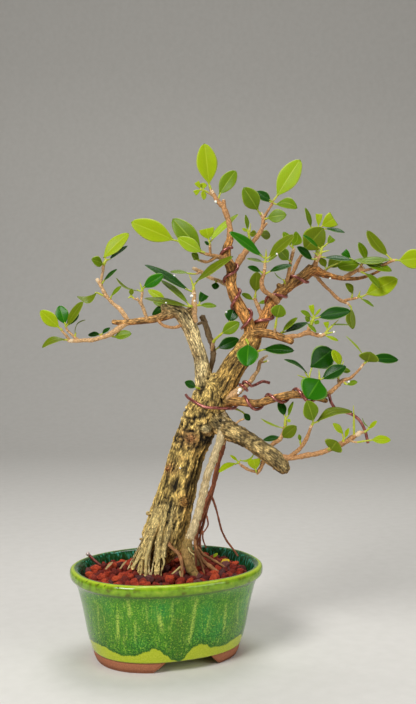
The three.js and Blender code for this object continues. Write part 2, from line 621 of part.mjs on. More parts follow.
  },
  crotch_behind: {
    direct: true,
    twig: [[212.5, 353, 22, 1.1], [216, 349, 30, 0.9]],
    leaves: [[217.5, 348, 239, 339, 3, 14, 15]],
  },
  neck_leaf: {
    direct: true,
    twig: [[202, 389.5, 4, 1.2], [197, 387.6, -3, 0.9]],
    leaves: [[196, 387.2, 184.7, 382, -4, 9.5, 25]],
  },
  limb_front_leaf: {
    direct: true,
    twig: [[247, 342, -4, 1.2], [246.3, 340, -13, 1], [248.3, 343.3, -17, 0.9]],
    leaves: [[248.5, 344.5, 246.8, 366.3, -18, 23.5, 5]],
  },
  limb_side_leaf: {
    direct: true,
    twig: [[256, 352, -2, 1.3], [262, 350, -13, 0.9]],
    leaves: [[263, 349.6, 294.3, 350.4, -4, 16, 48]],
  },
  pale_twig_bud: {
    twig: [[260.5, 362.5, 14, 1], [264, 362, 10, 0.9], [268.5, 360.4, 8, 0.9]],
  },
  wired_branch_head: {
    twig: [[312, 398, -32, 1.8], [310, 388, -38, 1.5], [309, 380, -39, 1.3]],
    forks: [[[310, 389, -37.5, 1.3], [315.5, 383.5, -40, 1.1], [319.5, 379.5, -41, 1]]],
    leaves: [[312.5, 367.5, 331, 347.5, 20, 24, 5], [307, 373, 283.8, 359.3, -4, 13, 72, -2],
      [322, 379, 345.7, 366.8, -3, 14, 42], [318.5, 381, 306.5, 397.8, -18, 26, 5]],
    buds: [[319.5, 379, 318.8, 369.5, 2], [306, 380.5, 297.5, 375, -3]],
  },
  wired_branch_shoot: {
    twig: [[339.5, 386, -41, 1.4], [338.5, 378, -39, 1.1], [339, 371, -37, 1]],
    leaves: [[340, 366, 333, 349.5, 8, 12, 30]],
  },
  wired_branch_side: {
    direct: true,
    twig: [[343.5, 381.5, -43, 1], [346, 384, -47, 0.9]],
    leaves: [[347, 384.5, 357.5, 382, -4, 8, 50]],
  },
  wired_branch_tip: {
    twig: [[362, 366, -50, 1.1], [366, 361.5, -51, 1]],
    leaves: [[363.5, 355.5, 346, 335.8, 6, 12, 80], [365.5, 359.5, 361, 352, -10, 12, 20],
      [368, 359, 382, 356, -9, 11, 30], [370.5, 358.8, 398.5, 359.5, 8, 14, 42]],
  },
  low_twig_right_tip: {
    twig: [[311.2, 427, -56, 1.1], [313, 423, -57, 1]],
    leaves: [[313.3, 420.5, 307, 401, -12, 15, 12], [316.5, 421.8, 352.5, 411.5, 8, 16, 62, 5]],
  },
  low_twig_left: {
    twig: [[279.5, 440, -21, 1.9], [283, 434, -19, 1.7], [285, 426, -17, 1.5], [285.5, 420, -16, 1.2],
      [286, 417.5, -16, 1]],
    leaves: [[284.5, 416, 279, 400.8, 6, 10, 20], [288, 416.5, 293.3, 401.5, -4, 8, 65],
      [282, 428, 260.8, 418.3, 4, 10, 80, 2], [285.5, 433, 296.8, 426.3, -8, 12, 8],
      [281, 437.5, 262.8, 440, 4, 10, 58]],
  },
  low_branch_fold: {
    direct: true,
    twig: [[328, 451.5, -48, 1], [329.5, 448, -54, 0.9]],
    leaves: [[330.5, 447.5, 346.5, 446.5, -5, 11, 25]],
  },
  low_branch_shoot: {
    direct: true,
    twig: [[343, 444.5, -51, 1.3], [343.5, 439, -53, 1]],
    leaves: [[343, 433.8, 332.8, 423.3, -3, 8.5, 38]],
  },
  low_branch_spike: {
    twig: [[354, 439, -53, 1], [354, 431, -56, 0.9]],
    buds: [[354, 430, 353.5, 405.5, -2]],
  },
  low_branch_long: {
    twig: [[349, 440, -52.5, 1.1], [356, 442, -59, 0.9], [364, 441, -61, 0.8], [370, 440.3, -62, 0.8]],
    leaves: [[371.5, 440, 391.8, 440, -4, 10.5, 38]],
  },
  under_twig_tip: {
    direct: true,
    twig: [[241, 465, -13, 1], [238.3, 462.5, -11, 0.9]],
    leaves: [[236.5, 463.5, 218.5, 472.3, -4, 10, 58, -2]],
  },
  under_twig_cut: {
    direct: true,
    twig: [[257.5, 474, -24, 1], [256, 470.5, -28, 0.9]],
    cut: [[255.5, 469.5, 253.5, 459, -2, 15]],
  },
  wired_branch_under: {
    direct: true,
    twig: [[230, 407, 2, 1.3], [238, 409.8, 4, 0.9], [243, 412.4, 5, 0.8]],
    leaves: [[243.8, 413.2, 250, 420.3, 3, 7, 10]],
  },
};

// Thin twigs, each part of the leafy spray that it carries.
const twigs = {
  paleStub: [[196, 322, 0, 2.2], [194.5, 311, -3, 2.6], [194, 302, -5, 2.4], [194, 292.5, -6, 2.2]],
  leftFork: [[128, 322, -10, 2.8], [121, 327, -13, 2.8], [113, 332.5, -16, 2.5], [100, 338, -20, 2.2],
    [90, 340, -23, 2], [80, 340.5, -25, 1.9], [68.5, 341, -28, 1.8]],
  leftTipUpper: [[78, 340, -25, 1.5], [71, 334, -27, 1.2], [67, 330, -29, 1.1]],
  leftTipLower: [[70, 340.5, -27, 1.5], [65, 334.5, -31, 1.2], [62, 331, -32, 1.1]],
  leftRiser: [[129, 322, -10, 2.4], [120, 310, -7, 2.1], [109, 299, -3, 1.8], [102, 288, 1, 1.8],
    [97, 279, 4, 1.9]],
  leftRiserTip: [[101, 286, 1, 1.4], [101.5, 279, 2, 1.3], [103, 270, 4, 1.1]],
  shortRiser: [[148, 321, -6, 2], [144, 311, -10, 1.6], [141, 303, -13, 1.4], [142, 296, -15, 1.2],
    [142.3, 292, -16, 1]],
  shortRiserFork: [[141.5, 305, -13, 1.3], [137, 298, -17, 1.1]],
  apexTip: [[230, 237, 3, 2.9], [230, 231, 4, 3], [228, 220, 5, 2.8], [224, 209, 6, 2.7], [217, 200, 7, 2.3],
    [211.5, 191, 8, 1.8]],
  apexStub: [[225.5, 210, 6, 1.6], [223.5, 200, 7, 1.6]],
  backTwig: [[232, 273, 0, 4], [243, 255, 8, 3.2], [256, 238, 16, 2.2], [262, 228, 19, 2], [263, 218, 21, 1.7],
    [261, 212.5, 21, 1.3]],
  backTwigTip: [[263, 219, 21, 1.5], [269, 209, 22, 1.3], [273, 202, 24, 1.2]],
  backTwigStub: [[261.5, 230, 19, 1.3], [267, 223, 16, 1.1]],
  crownTwig: [[227, 258, 0, 2.4], [216, 256.5, -6, 1.9], [205, 253.5, -11, 1.7], [196, 250, -14, 1.5],
    [187, 245.5, -17, 1.2]],
  crownTwigLow: [[216, 257, -6, 1.7], [207, 262, -3, 1.5], [200, 260.5, -2, 1.2]],
  crownTwigUp: [[211, 255.5, -9, 1.4], [210, 249, -10, 1.4], [210, 244.5, -11, 1.1]],
  highTwig: [[229, 285, -2, 2.6], [220, 281.5, 6, 2], [209, 277, 12, 1.7], [201, 272, 15, 2],
    [193, 268, 17, 1.8]],
  middleTwig: [[263, 318, 4, 2.6], [258, 307, 14, 2.2], [254.5, 297, 19, 1.4]],
  frontTwig: [[278, 302, 4, 2.6], [272, 296, -4, 2.4], [264, 290, -10, 2.4], [261.5, 282, -13, 2.3],
    [264, 273, -15, 1.8], [265, 266, -16, 1.4]],
  outerTwig: [[342, 279, 28, 2.1], [353, 272.5, 27, 2], [361, 268.5, 26, 1.8], [364, 268, 26, 1.6]],
  outerTwigTip: [[358, 271, 26, 1.6], [368, 269.5, 22, 1.4], [380, 266, 18, 1.4], [388, 263, 15, 1.4],
    [394, 260, 13, 1.4]],
  outerTwigUp: [[359.5, 270, 26, 1.3], [362, 263.5, 24, 1.1]],
  risingTwigLeft: [[284, 290, 11, 2.2], [289, 272, 6, 1.8], [291, 261, 3, 1.6], [294, 248.5, 0, 1.5]],
  risingTwigRight: [[289, 284, 12, 2.6], [292, 275, 18, 2.1], [297, 264, 24, 1.8], [302, 254, 28, 1.5]],
  headTwigLeft: [[313, 269, 21, 3.4], [315, 263, 17, 2.4], [317, 259, 13, 2]],
  hangTwig: [[312, 272, 23, 3], [318, 278, 32, 1.8], [327, 288, 37, 1.6], [338, 298.5, 40, 1.7],
    [343, 301.5, 41, 1.7], [349, 304, 41, 1.4]],
  hangTwigTip: [[342, 301, 41, 1.4], [351, 299, 39, 1.3], [357, 298, 38, 1.1]],
  middleBranchTip: [[284, 338, -18, 2.8], [293, 336.5, -22, 2.2], [300, 335, -25, 2.1], [308, 332.5, -28, 2.6],
    [315, 335, -31, 2], [322, 335.8, -34, 1.8]],
  middleBranchBud: [[308.5, 333, -28, 2.2], [309, 327, -29, 1.8]],
  wiredBranchTip: [[322, 397, -34, 2.2], [330, 392.5, -38, 2], [338, 385.5, -41, 1.8], [343, 380, -43, 2],
    [350, 378, -45, 1.4], [357, 372, -48, 1.2], [363, 365, -50, 1.1]],
  paleTwig: [[226, 399, 2, 5], [240, 390, -1, 3.4], [249, 383, 3, 2.6], [254, 376.5, 8, 2.2],
    [257.5, 371, 11, 2],
    [260, 362, 14, 1.9], [263, 358.5, 16, 1.5], [267.5, 355.5, 18, 1]],
  lowBranchTip: [[276, 459, -33, 4.4], [285, 458, -37, 3], [293, 457.5, -40, 2.6], [312, 454.5, -45, 2.5],
    [326, 450.5, -48, 2.4], [342, 443.5, -51, 2.5], [352, 438, -53, 2.4], [361, 432, -55, 2.2]],
  lowTwigRight: [[288, 458, -38, 2.4], [295, 453, -42, 2], [302, 446, -47, 1.9], [307, 438, -51, 1.7],
    [310, 430, -54, 1.5], [311.5, 425, -56, 1.1]],
  lowTwigLeft: [[268, 449, -28, 2.2], [274, 443.5, -24, 2], [280, 439, -21, 1.8], [283, 434, -19, 1.7],
    [285, 426, -17, 1.5], [285.2, 420, -16, 1.3]],
  underTwig: [[266, 455, -28, 2.4], [262, 465, -26, 1.9], [257, 473.5, -24, 1.8]],
  underTwigTip: [[257.5, 472, -24, 1.5], [250, 470.5, -20, 1.5], [243, 466.5, -15, 1.4], [240, 464, -13, 1]],
};

// A spray is one body: the twigs that carry it, and the leafy stems on them. Without a twig it grows straight
// from the wood.
const sprays = {
  left_fork: [["leftFork", "leftTipUpper", "leftTipLower"],
    ["left_tip_upper", "left_tip_lower", "left_low_leaf",
    "left_curl", "left_fork_pair", "left_under_leaf"]],
  left_riser: [["leftRiser", "leftRiserTip"], ["left_riser_top", "left_riser_side", "left_riser_low",
    "left_riser_inner"]],
  short_riser: [["shortRiser", "shortRiserFork"], ["short_riser_tip"]],
  knob_back: [[], ["knob_back"]],
  pale_stub: [["paleStub"], ["pale_stub_top", "pale_stub_left", "pale_stub_right"]],
  high_twig: [["highTwig"], ["high_twig_leaf"]],
  crown_twig: [["crownTwig", "crownTwigLow", "crownTwigUp"],
    ["crown_twig_tip", "crown_twig_side", "crown_twig_low",
    "crown_twig_up"]],
  apex_tip: [["apexTip", "apexStub"], ["apex_top", "apex_cut", "apex_right"]],
  back_twig: [["backTwig", "backTwigTip", "backTwigStub"],
    ["back_twig_tip", "back_twig_left", "back_twig_right",
    "back_twig_shoot", "back_twig_behind"]],
  front_twig: [["frontTwig"], ["front_twig_tip", "front_twig_left", "front_twig_right"]],
  middle_twig: [["middleTwig"], ["middle_twig_tip"]],
  rising_left: [["risingTwigLeft"], ["rising_left_tip", "rising_left_side", "rising_left_blade"]],
  rising_right: [["risingTwigRight"], ["rising_right_tip"]],
  head_twig: [["headTwigLeft"], ["head_twig_tip"]],
  head_twig_back: [[], ["head_twig_back"]],
  head_twig_right: [[], ["head_twig_right"]],
  outer_twig: [["outerTwig", "outerTwigTip", "outerTwigUp"],
    ["outer_twig_up", "outer_twig_tip", "outer_twig_droop",
    "outer_twig_cut"]],
  hang_twig: [["hangTwig", "hangTwigTip"], ["hang_twig_tip", "hang_twig_curl", "hang_twig_end"]],
  middle_branch_tip: [["middleBranchTip", "middleBranchBud"], ["middle_branch_bud", "middle_branch_tip"]],
  middle_branch_pair: [[], ["middle_branch_pair"]],
  middle_branch_round: [[], ["middle_branch_round"]],
  crotch_stem: [[], ["crotch_stem"]],
  crotch_behind: [[], ["crotch_behind"]],
  neck_leaf: [[], ["neck_leaf"]],
  limb_front_leaf: [[], ["limb_front_leaf"]],
  limb_side_leaf: [[], ["limb_side_leaf"]],
  pale_twig: [["paleTwig"], ["pale_twig_bud"]],
  wired_branch_head: [[], ["wired_branch_head"]],
  wired_branch_tip: [["wiredBranchTip"], ["wired_branch_shoot", "wired_branch_side", "wired_branch_tip"]],
  wired_branch_under: [[], ["wired_branch_under"]],
  low_twig_left: [["lowTwigLeft"], ["low_twig_left"]],
  low_branch_tip: [["lowBranchTip", "lowTwigRight"],
    ["low_twig_right_tip", "low_branch_fold", "low_branch_shoot",
    "low_branch_spike", "low_branch_long"]],
  under_twig: [["underTwig", "underTwigTip"], ["under_twig_tip", "under_twig_cut"]],
};

const leafOutline = [0, 0.94, 0.9, 0]; // half width from the base to the tip
const smallOutline = [0, 1, 0]; // of a leaf narrower than smallWidth
const smallWidth = 11;
const cutOutline = [0, 0.66, 1]; // a leaf shortened with scissors is widest at its end

function leafAxes(base, tip, roll) {
  const along = tip.clone().sub(base);
  const length = along.length();
  along.normalize();
  const facing = new THREE.Vector3(0, -1, 0).addScaledVector(along, along.y).normalize();
  const upward = along.clone().cross(facing);
  if (upward.z < 0) upward.negate();
  const turn = THREE.MathUtils.degToRad(roll);
  const normal = facing.multiplyScalar(Math.cos(turn)).addScaledVector(upward, Math.sin(turn));
  return { along, length, normal, side: along.clone().cross(normal) };
}

// One leaf with its stalk, which starts at the seat in the twig. It is two sheets of the same grid, joined at
// the edge and parted at the midrib.
function leaf(seat, base, tip, width, roll, bend, outline) {
  const { thickness, fold, arch, stalk, sunk } = leafShape;
  const { along, length, normal, side } = leafAxes(base, tip, roll);
  const inPicture = new THREE.Vector3(-along.z, 0, along.x).normalize();
  const reach = base.clone().sub(seat).normalize();
  const heel = seat.clone().addScaledVector(reach, -sunk);
  const stalkSide = reach.cross(normal).normalize();
  const rows = outline.length;
  const grid = new THREE.PlaneGeometry(1, 1, 2, rows);
  const count = grid.attributes.position.count;
  const places = [];
  for (const face of [-1, 1]) {
    for (let i = 0; i < count; i += 1) {
      const across = grid.attributes.position.getX(i) * 2;
      const row = Math.round((0.5 - grid.attributes.position.getY(i)) * rows);
      if (row === 0) {
        const foot = heel.clone().addScaledVector(stalkSide, across * stalk);
        places.push(foot.x, foot.y, foot.z);
        continue;
      }
      const share = (row - 1) / (rows - 1);
      const half = row === 1 ? stalk : 0.5 * width * outline[row - 1];
      const thick = row < rows ? 0.5 * thickness * (1 - Math.abs(across)) : 0;
      const bow = Math.sin(Math.PI * share);
      const point = base.clone()
        .addScaledVector(along, length * share)
        .addScaledVector(inPicture, bend * bow)
        .addScaledVector(side, across * half)
        .addScaledVector(normal, arch * length * bow + fold * Math.abs(across) * half + face * thick);
      places.push(point.x, point.y, point.z);
    }
  }
  const front = Array.from(grid.index.array);
  const back = [];
  for (let i = 0; i < front.length; i += 3) {
    back.push(front[i] + count, front[i + 2] + count, front[i + 1] + count);
  }
  const geometry = new THREE.BufferGeometry();
  geometry.setAttribute("position", new THREE.Float32BufferAttribute(places, 3));
  geometry.setIndex([...front, ...back]);
  return solid(geometry);
}

function bud(from, to) {
  const length = from.distanceTo(to);
  const geometry = new THREE.CylinderGeometry(0.4, 1.3, length, 4);
  const turn = new THREE.Quaternion().setFromUnitVectors(new THREE.Vector3(0, 1, 0),
    to.clone().sub(from).normalize());
  geometry.applyQuaternion(turn);
  const middle = from.clone().lerp(to, 0.5);
  geometry.translate(middle.x, middle.y, middle.z);
  return solid(geometry);
}

function growStem({ twig, direct = false, forks = [], leaves = [], cut = [], buds = [] }) {
  const stalks = [twig, ...forks];
  const curves = stalks.map((stations) => new THREE.CatmullRomCurve3(stations.map(spot), false, "centripetal"));
  const nodes = curves.flatMap((curve) => curve.getSpacedPoints(16).slice(4));
  const seatFor = (across, down) => { // the stem's nearest point, as seen in the photograph
    const far = (node) => {
      const seen = spot([across, down, node.y]);
      return Math.hypot(seen.x - node.x, seen.z - node.z);
    };
    return nodes.reduce((best, node) => (far(node) < far(best) ? node : best));
  };
  const bodies = direct ? [] : stalks.map((stations) => limb(stations, { sides: 3, step: 18 }));
  const hang = ([baseAcross, baseDown, tipAcross, tipDown, lean, width, roll = 0, bend = 0], outline) => {
    const near = seatFor(baseAcross, baseDown);
    const base = spot([baseAcross, baseDown, near.y + 0.15 * lean]);
    const tip = spot([tipAcross, tipDown, near.y + lean]);
    bodies.push(leaf(direct ? spot(twig[0]) : near, base, tip, width, roll, bend, outline));
  };
  leaves.forEach((row) => hang(row, row[5] < smallWidth ? smallOutline : leafOutline));
  cut.forEach((row) => hang(row, cutOutline));
  for (const [baseAcross, baseDown, tipAcross, tipDown, lean] of buds) {
    const seat = seatFor(baseAcross, baseDown);
    bodies.push(bud(seat, spot([tipAcross, tipDown, seat.y + lean])));
  }
  return joined(bodies);
}

function growSpray([twigNames, stemNames]) {
  const carried = twigNames.map((name) => limb(twigs[name], thinLimb(twigs[name])));
  return joined([...carried, ...stemNames.map((name) => growStem(stems[name]))]);
}

// ---- training wires ----

const wireSize = { radius: 1.35, sides: 4, step: 8.5, clearance: 1 };

// Points on a helix round a limb, from one share of its length to another. The angle is 0 in front.
function coilPoints(stations, { from, to, start, turns }) {
  const curve = new THREE.CatmullRomCurve3(stations.map(spot), false, "centripetal");
  const perStation = 12;
  const lengths = curve.getLengths((stations.length - 1) * perStation);
  const marks = stations.map((_, i) => lengths[i * perStation] / lengths[lengths.length - 1]);
  const steps = Math.ceil(turns * 9);
  const points = [];
  for (let i = 0; i <= steps; i += 1) {
    const along = THREE.MathUtils.lerp(from, to, i / steps);
    const next = Math.max(1, marks.findIndex((mark) => mark >= along));
    const share = (along - marks[next - 1]) / (marks[next] - marks[next - 1]);
    const limbRadius = THREE.MathUtils.lerp(stations[next - 1][3], stations[next][3], share);
    const tangent = curve.getTangentAt(along);
    const front = new THREE.Vector3(0, -1, 0).addScaledVector(tangent, tangent.y).normalize();
    const side = tangent.clone().cross(front);
    const angle = start + 2 * Math.PI * turns * (i / steps);
    const reach = limbRadius + wireSize.radius + wireSize.clearance;
    points.push(curve.getPointAt(along).addScaledVector(front, reach * Math.cos(angle))
      .addScaledVector(side, reach * Math.sin(angle)));
  }
  return points;
}

function tube(points, radius) {
  const path = new THREE.CatmullRomCurve3(points, false, "centripetal");
  const { sides, step } = wireSize;
  const round = Array.from({ length: sides }, (_, i) => {
    const angle = (2 * Math.PI * i) / sides;
    return new THREE.Vector2(radius * Math.cos(angle), radius * Math.sin(angle));
  });
  const steps = Math.round(path.getLength() / step);
  const section = new THREE.Shape(round);
  return solid(new THREE.ExtrudeGeometry(section, { steps, extrudePath: path, bevelEnabled: false }));
}

const quarter = Math.PI / 2;
const wires = {
  wire_apex: coilPoints(limbs.apexBranch, { from: 0.12, to: 0.86, start: -quarter, turns: 3.4 }),
  wire_limb: coilPoints(limbs.upperLimb, { from: 0.1, to: 0.5, start: -quarter, turns: 2.5 }),
  wire_trunk: [
    ...[[186, 395, 12], [188.5, 398, 2], [195, 402, -7], [205, 407, -12], [217, 408, -13.5], [229, 407, -14],
      [238, 402, -15]].map(spot),
    ...coilPoints(limbs.wiredBranch, { from: 0.24, to: 0.9, start: -0.9 * quarter, turns: 3.05 }),
    ...[[328, 393, -37], [331, 402, -42], [336, 409, -40], [345, 412, -36], [353, 415, -32], [360, 421, -29],
      [365, 431, -27], [368, 443, -26]].map(spot),
  ],
  wire_neck: [
    ...coilPoints(twigs.paleTwig, { from: 0.3, to: 0.42, start: -quarter, turns: 1.4 }),
    ...[[256, 384.5, 6], [263, 381.5, 4], [270, 383, 3]].map(spot),
  ],
};

const tieWire = [[87, 553, 24], [95, 561, 26], [103, 568, 28], [106, 573, 29]];

// ---- soil and lava grit ----

function makeSoil(hollow) {
  const { height, wallGap, sides } = soilSize;
  const wall = potSize.inside.slice(3, 6).reverse().map(([inset, level]) => [inset + wallGap, level]);
  const floor = potFloor + 3 * seatGap + drain.meshThickness;
  const body = oval([[33, floor], ...wall, [14, height]], { sides, turn: potTurn });
  return body.subtract(hollow);
}

// A point of the square from -1 to 1, pressed into the rounded oval that the lumps fill.
function onOval(u, v) {
  const { halfLength, halfWidth, roundness } = potSize;
  const x = u * Math.sqrt(1 - (v * v) / 2);
  const y = v * Math.sqrt(1 - (u * u) / 2);
  const power = (Math.abs(x) ** roundness + Math.abs(y) ** roundness) ** (1 / roundness);
  const stretch = power > 0 ? Math.hypot(x, y) / power : 1;
  return [x * stretch * (halfLength - gritSize.edge), y * stretch * (halfWidth - gritSize.edge)];
}

// Lumps of lava side by side: every second point of a lattice is a lump's top, and the others lie between.
function makeGrit(hollow) {
  const { edgeHeight, valley, lumpLow, lumpHigh, moundHeight, across, deep, shift, seed } = gritSize;
  const random = seeded(seed);
  const floor = soilSize.height + seatGap;
  const places = [];
  const rimOf = (row, column) => row === 0 || row === deep || column === 0 || column === across;
  const lumpAt = (row, column) => (row + column) % 2 === 0 && !rimOf(row, column);
  for (let row = 0; row <= deep; row += 1) {
    for (let column = 0; column <= across; column += 1) {
      const [up, right, back] = [random(), random(), random()];
      const loose = rimOf(row, column) ? 0 : shift;
      const u = (2 * (column + loose * (2 * right - 1))) / across - 1;
      const v = (2 * (row + loose * (2 * back - 1))) / deep - 1;
      const mound = moundHeight * (1 - Math.max(u * u, v * v));
      let height = edgeHeight;
      if (lumpAt(row, column)) height = THREE.MathUtils.lerp(lumpLow, lumpHigh, up) + mound;
      else if (!rimOf(row, column)) height = valley + mound;
      places.push(...onOval(u, v), floor + height);
    }
  }
  const index = [];
  const at = (row, column) => row * (across + 1) + column;
  for (let row = 0; row < deep; row += 1) {
    for (let column = 0; column < across; column += 1) {
      const [a, b, c, d] = [at(row, column), at(row, column + 1), at(row + 1, column), at(row + 1, column + 1)];
      if ((row + column) % 2 === 0) index.push(a, b, c, b, d, c);
      else index.push(a, b, d, a, d, c);
    }
  }
  const rim = [];
  for (let column = 0; column < across; column += 1) rim.push(at(0, column));
  for (let row = 0; row < deep; row += 1) rim.push(at(row, across));
  for (let column = across; column > 0; column -= 1) rim.push(at(deep, column));
  for (let row = deep; row > 0; row -= 1) rim.push(at(row, 0));
  const below = places.length / 3;
  const middle = below + rim.length;
  rim.forEach((corner) => places.push(places[corner * 3], places[corner * 3 + 1], floor));
  places.push(0, 0, floor);
  rim.forEach((corner, i) => {
    const next = (i + 1) % rim.length;
    index.push(corner, below + i, below + next, corner, below + next, rim[next]);
    index.push(middle, below + next, below + i);
  });
  const relief = new THREE.BufferGeometry();
  relief.setAttribute("position", new THREE.Float32BufferAttribute(places, 3));
  relief.setIndex(index);
  relief.rotateZ(potTurn);
  return solid(relief).subtract(hollow);
}

// ---- the whole part ----

const potGlaze = { color: "#5d9a26", roughness: 0.2 };
const meshPlastic = { color: "#1c1c1c", roughness: 0.6 };
const barkFinish = { color: "#a08a52", roughness: 0.9 };
const leafFinish = { color: "#6fa51a", roughness: 0.45 };
const wireFinish = { color: "#8c4438", roughness: 0.35, metalness: 0.8 };

const holder = new THREE.Group();
holder.add(piece("pot", makePot(), potGlaze));
holder.add(piece("drain_mesh_left", makeDrainMesh(-1), meshPlastic));
holder.add(piece("drain_mesh_right", makeDrainMesh(1), meshPlastic));

const tree = new THREE.Group();
tree.rotation.z = -potTurn;
holder.add(tree);

const tie = tieWire.map(spot);
const allWires = [...Object.values(wires), tie];
const wireHollow = joined(allWires.map((points) => tube(points, wireSize.radius + seatGap)));
const woodHollow = growWood(seatGap);
const hollow = woodHollow.add(wireHollow);
tree.add(piece("trunk", mainBody("trunk", growWood(0).subtract(wireHollow)), barkFinish));
for (const [name, spray] of Object.entries(sprays)) {
  tree.add(piece(name, mainBody(name, growSpray(spray).subtract(hollow)), leafFinish));
}
for (const [name, points] of Object.entries({ ...wires, tie_wire: tie })) {
  tree.add(piece(name, tube(points, wireSize.radius), wireFinish));
}
tree.add(piece("soil", mainBody("soil", makeSoil(hollow)), { color: "#1a0e0a", roughness: 1 }));
tree.add(piece("lava_grit", mainBody("lava_grit", makeGrit(hollow)), { color: "#8a2a1c", roughness: 1 }));

// The origin goes under the middle of the whole part.
const outline = new THREE.Box3().setFromObject(holder, true);
holder.position.set(-(outline.min.x + outline.max.x) / 2, -(outline.min.y + outline.max.y) / 2, -outline.min.z);
const part = new THREE.Group();
part.add(holder);
export default part;
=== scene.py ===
import math
from functools import partial

import bmesh
import bpy
import numpy as np
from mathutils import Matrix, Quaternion, Vector
from mathutils.bvhtree import BVHTree


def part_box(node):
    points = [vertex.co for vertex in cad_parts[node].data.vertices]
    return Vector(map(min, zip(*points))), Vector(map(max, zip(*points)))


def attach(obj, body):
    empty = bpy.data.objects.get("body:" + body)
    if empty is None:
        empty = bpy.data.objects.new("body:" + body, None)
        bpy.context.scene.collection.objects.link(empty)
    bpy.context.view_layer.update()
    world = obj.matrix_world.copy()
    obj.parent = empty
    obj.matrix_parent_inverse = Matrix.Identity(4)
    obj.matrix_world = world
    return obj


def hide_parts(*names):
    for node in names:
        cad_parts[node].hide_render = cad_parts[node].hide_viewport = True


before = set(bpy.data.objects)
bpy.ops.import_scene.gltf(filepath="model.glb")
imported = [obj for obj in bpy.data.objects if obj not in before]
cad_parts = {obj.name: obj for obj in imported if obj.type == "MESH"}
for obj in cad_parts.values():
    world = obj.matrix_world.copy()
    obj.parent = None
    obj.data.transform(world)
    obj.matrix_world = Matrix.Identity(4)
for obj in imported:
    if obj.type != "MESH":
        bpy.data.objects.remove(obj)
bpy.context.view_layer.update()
print("the packed frame is in")

mm = 0.001

# Places on the tree are [across, down, back]: across and down are pixels in the photograph's 416 x 704
# frame, and back is how far behind the pot's middle the point lies, in mm. Shapes are worked out in mm in
# this front view, with the pot's middle at table level as its origin, and toPart turns them into the part's
# frame.
sight = {
    "middleAcross": 208, "middleDown": 352, "focal": 1006.5, "frameHeight": 704,  # pixels
    "sensor": 36, "eye": [46.7, -1137.4, 389.3],  # mm
    "tilt": 0.04,  # radians down
}
potTurn = 0.42  # radians that the tree stands turned over the pot
turnCos, turnSin = math.cos(potTurn), math.sin(potTurn)
viewToPart = np.array([[turnCos, turnSin, 0], [-turnSin, turnCos, 0], [0, 0, 1]])
potLow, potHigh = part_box("pot")
potMiddle = np.array([(potLow.x + potHigh.x) / 2, (potLow.y + potHigh.y) / 2, 0]) / mm


def toPart(points):
    return (np.asarray(points) @ viewToPart.T + potMiddle) * mm


def spot(place):
    across, down, back = place
    side = (across - sight["middleAcross"]) / sight["focal"]
    rise = (sight["middleDown"] - down) / sight["focal"]
    ahead = math.cos(sight["tilt"]) + rise * math.sin(sight["tilt"])
    up = rise * math.cos(sight["tilt"]) - math.sin(sight["tilt"])
    eyeAcross, eyeBack, eyeHeight = sight["eye"]
    reach = (back - eyeBack) / ahead
    return np.array([eyeAcross + side * reach, back, eyeHeight + up * reach])


def makeCamera():
    data = bpy.data.cameras.new("camera")
    data.sensor_width = sight["sensor"]
    data.lens = sight["focal"] / sight["frameHeight"] * sight["sensor"]
    data.clip_end = 30
    camera = bpy.data.objects.new("camera", data)
    camera.location = toPart([sight["eye"]])[0]
    camera.rotation_euler = (math.pi / 2 - sight["tilt"], 0, -potTurn)
    bpy.context.collection.objects.link(camera)
    bpy.context.scene.camera = camera
    bpy.context.scene.view_settings.view_transform = "Standard"  # keeps the leaves and the glaze vivid


makeCamera()
print("camera at the photograph's angle")

# Small tools for lines, tubes and noise.

lattice = np.random.default_rng(11).random((32, 32, 32))


def softNoise(points, period):  # smooth, from -1 to 1
    cell = np.asarray(points, float) / period
    low = np.floor(cell).astype(int)
    share = cell - low
    share = share * share * (3 - 2 * share)
    total = np.zeros(len(cell))
    for corner in np.ndindex(2, 2, 2):
        weight = np.prod(np.where(np.array(corner) > 0, share, 1 - share), axis=1)
        i, j, k = ((low + np.array(corner)) % len(lattice)).T
        total += weight * lattice[i, j, k]
    return 2 * total - 1


def unit(vectors):
    return vectors / np.maximum(np.linalg.norm(vectors, axis=-1, keepdims=True), 1e-9)


def curveThrough(points, perSpan=12):  # a centripetal spline
    points = np.asarray(points, float)
    ends = np.vstack([2 * points[0] - points[1], points, 2 * points[-1] - points[-2]])
    shares = np.arange(perSpan)[:, None] / perSpan
    spans = []
    for before, start, end, after in zip(ends, ends[1:], ends[2:], ends[3:]):
        first, middle, last = [max(np.linalg.norm((b - a)[:3]), 1e-4) ** 0.5
                               for a, b in ((before, start), (start, end), (end, after))]
        leave = ((start - before) / first - (end - before) / (first + middle)) * middle + end - start
        arrive = ((after - end) / last - (after - start) / (middle + last)) * middle + end - start
        square = 3 * (end - start) - 2 * leave - arrive
        cube = 2 * (start - end) + leave + arrive
        spans.append(start + shares * (leave + shares * (square + shares * cube)))
    return np.vstack([*spans, ends[-2:-1]])


def evenly(line, step=None, count=None):  # the same line with points at equal distances
    lengths = np.concatenate([[0], np.cumsum(np.linalg.norm(np.diff(line[:, :3], axis=0), axis=1))])
    if count is None:
        count = max(3, int(lengths[-1] / step) + 1)
    marks = np.linspace(0, lengths[-1], count)
    return np.column_stack([np.interp(marks, lengths, column) for column in line.T]), marks


def limbLine(stations, step):  # points and radii along a limb, and how far along each one is
    places = np.array([spot(station[:3]) for station in stations])
    line = curveThrough(places)
    radii = np.interp(np.linspace(0, len(stations) - 1, len(line)), range(len(stations)),
                      [station[3] for station in stations])
    even, marks = evenly(np.column_stack([line, radii]), step)
    return even[:, :3], even[:, 3], marks


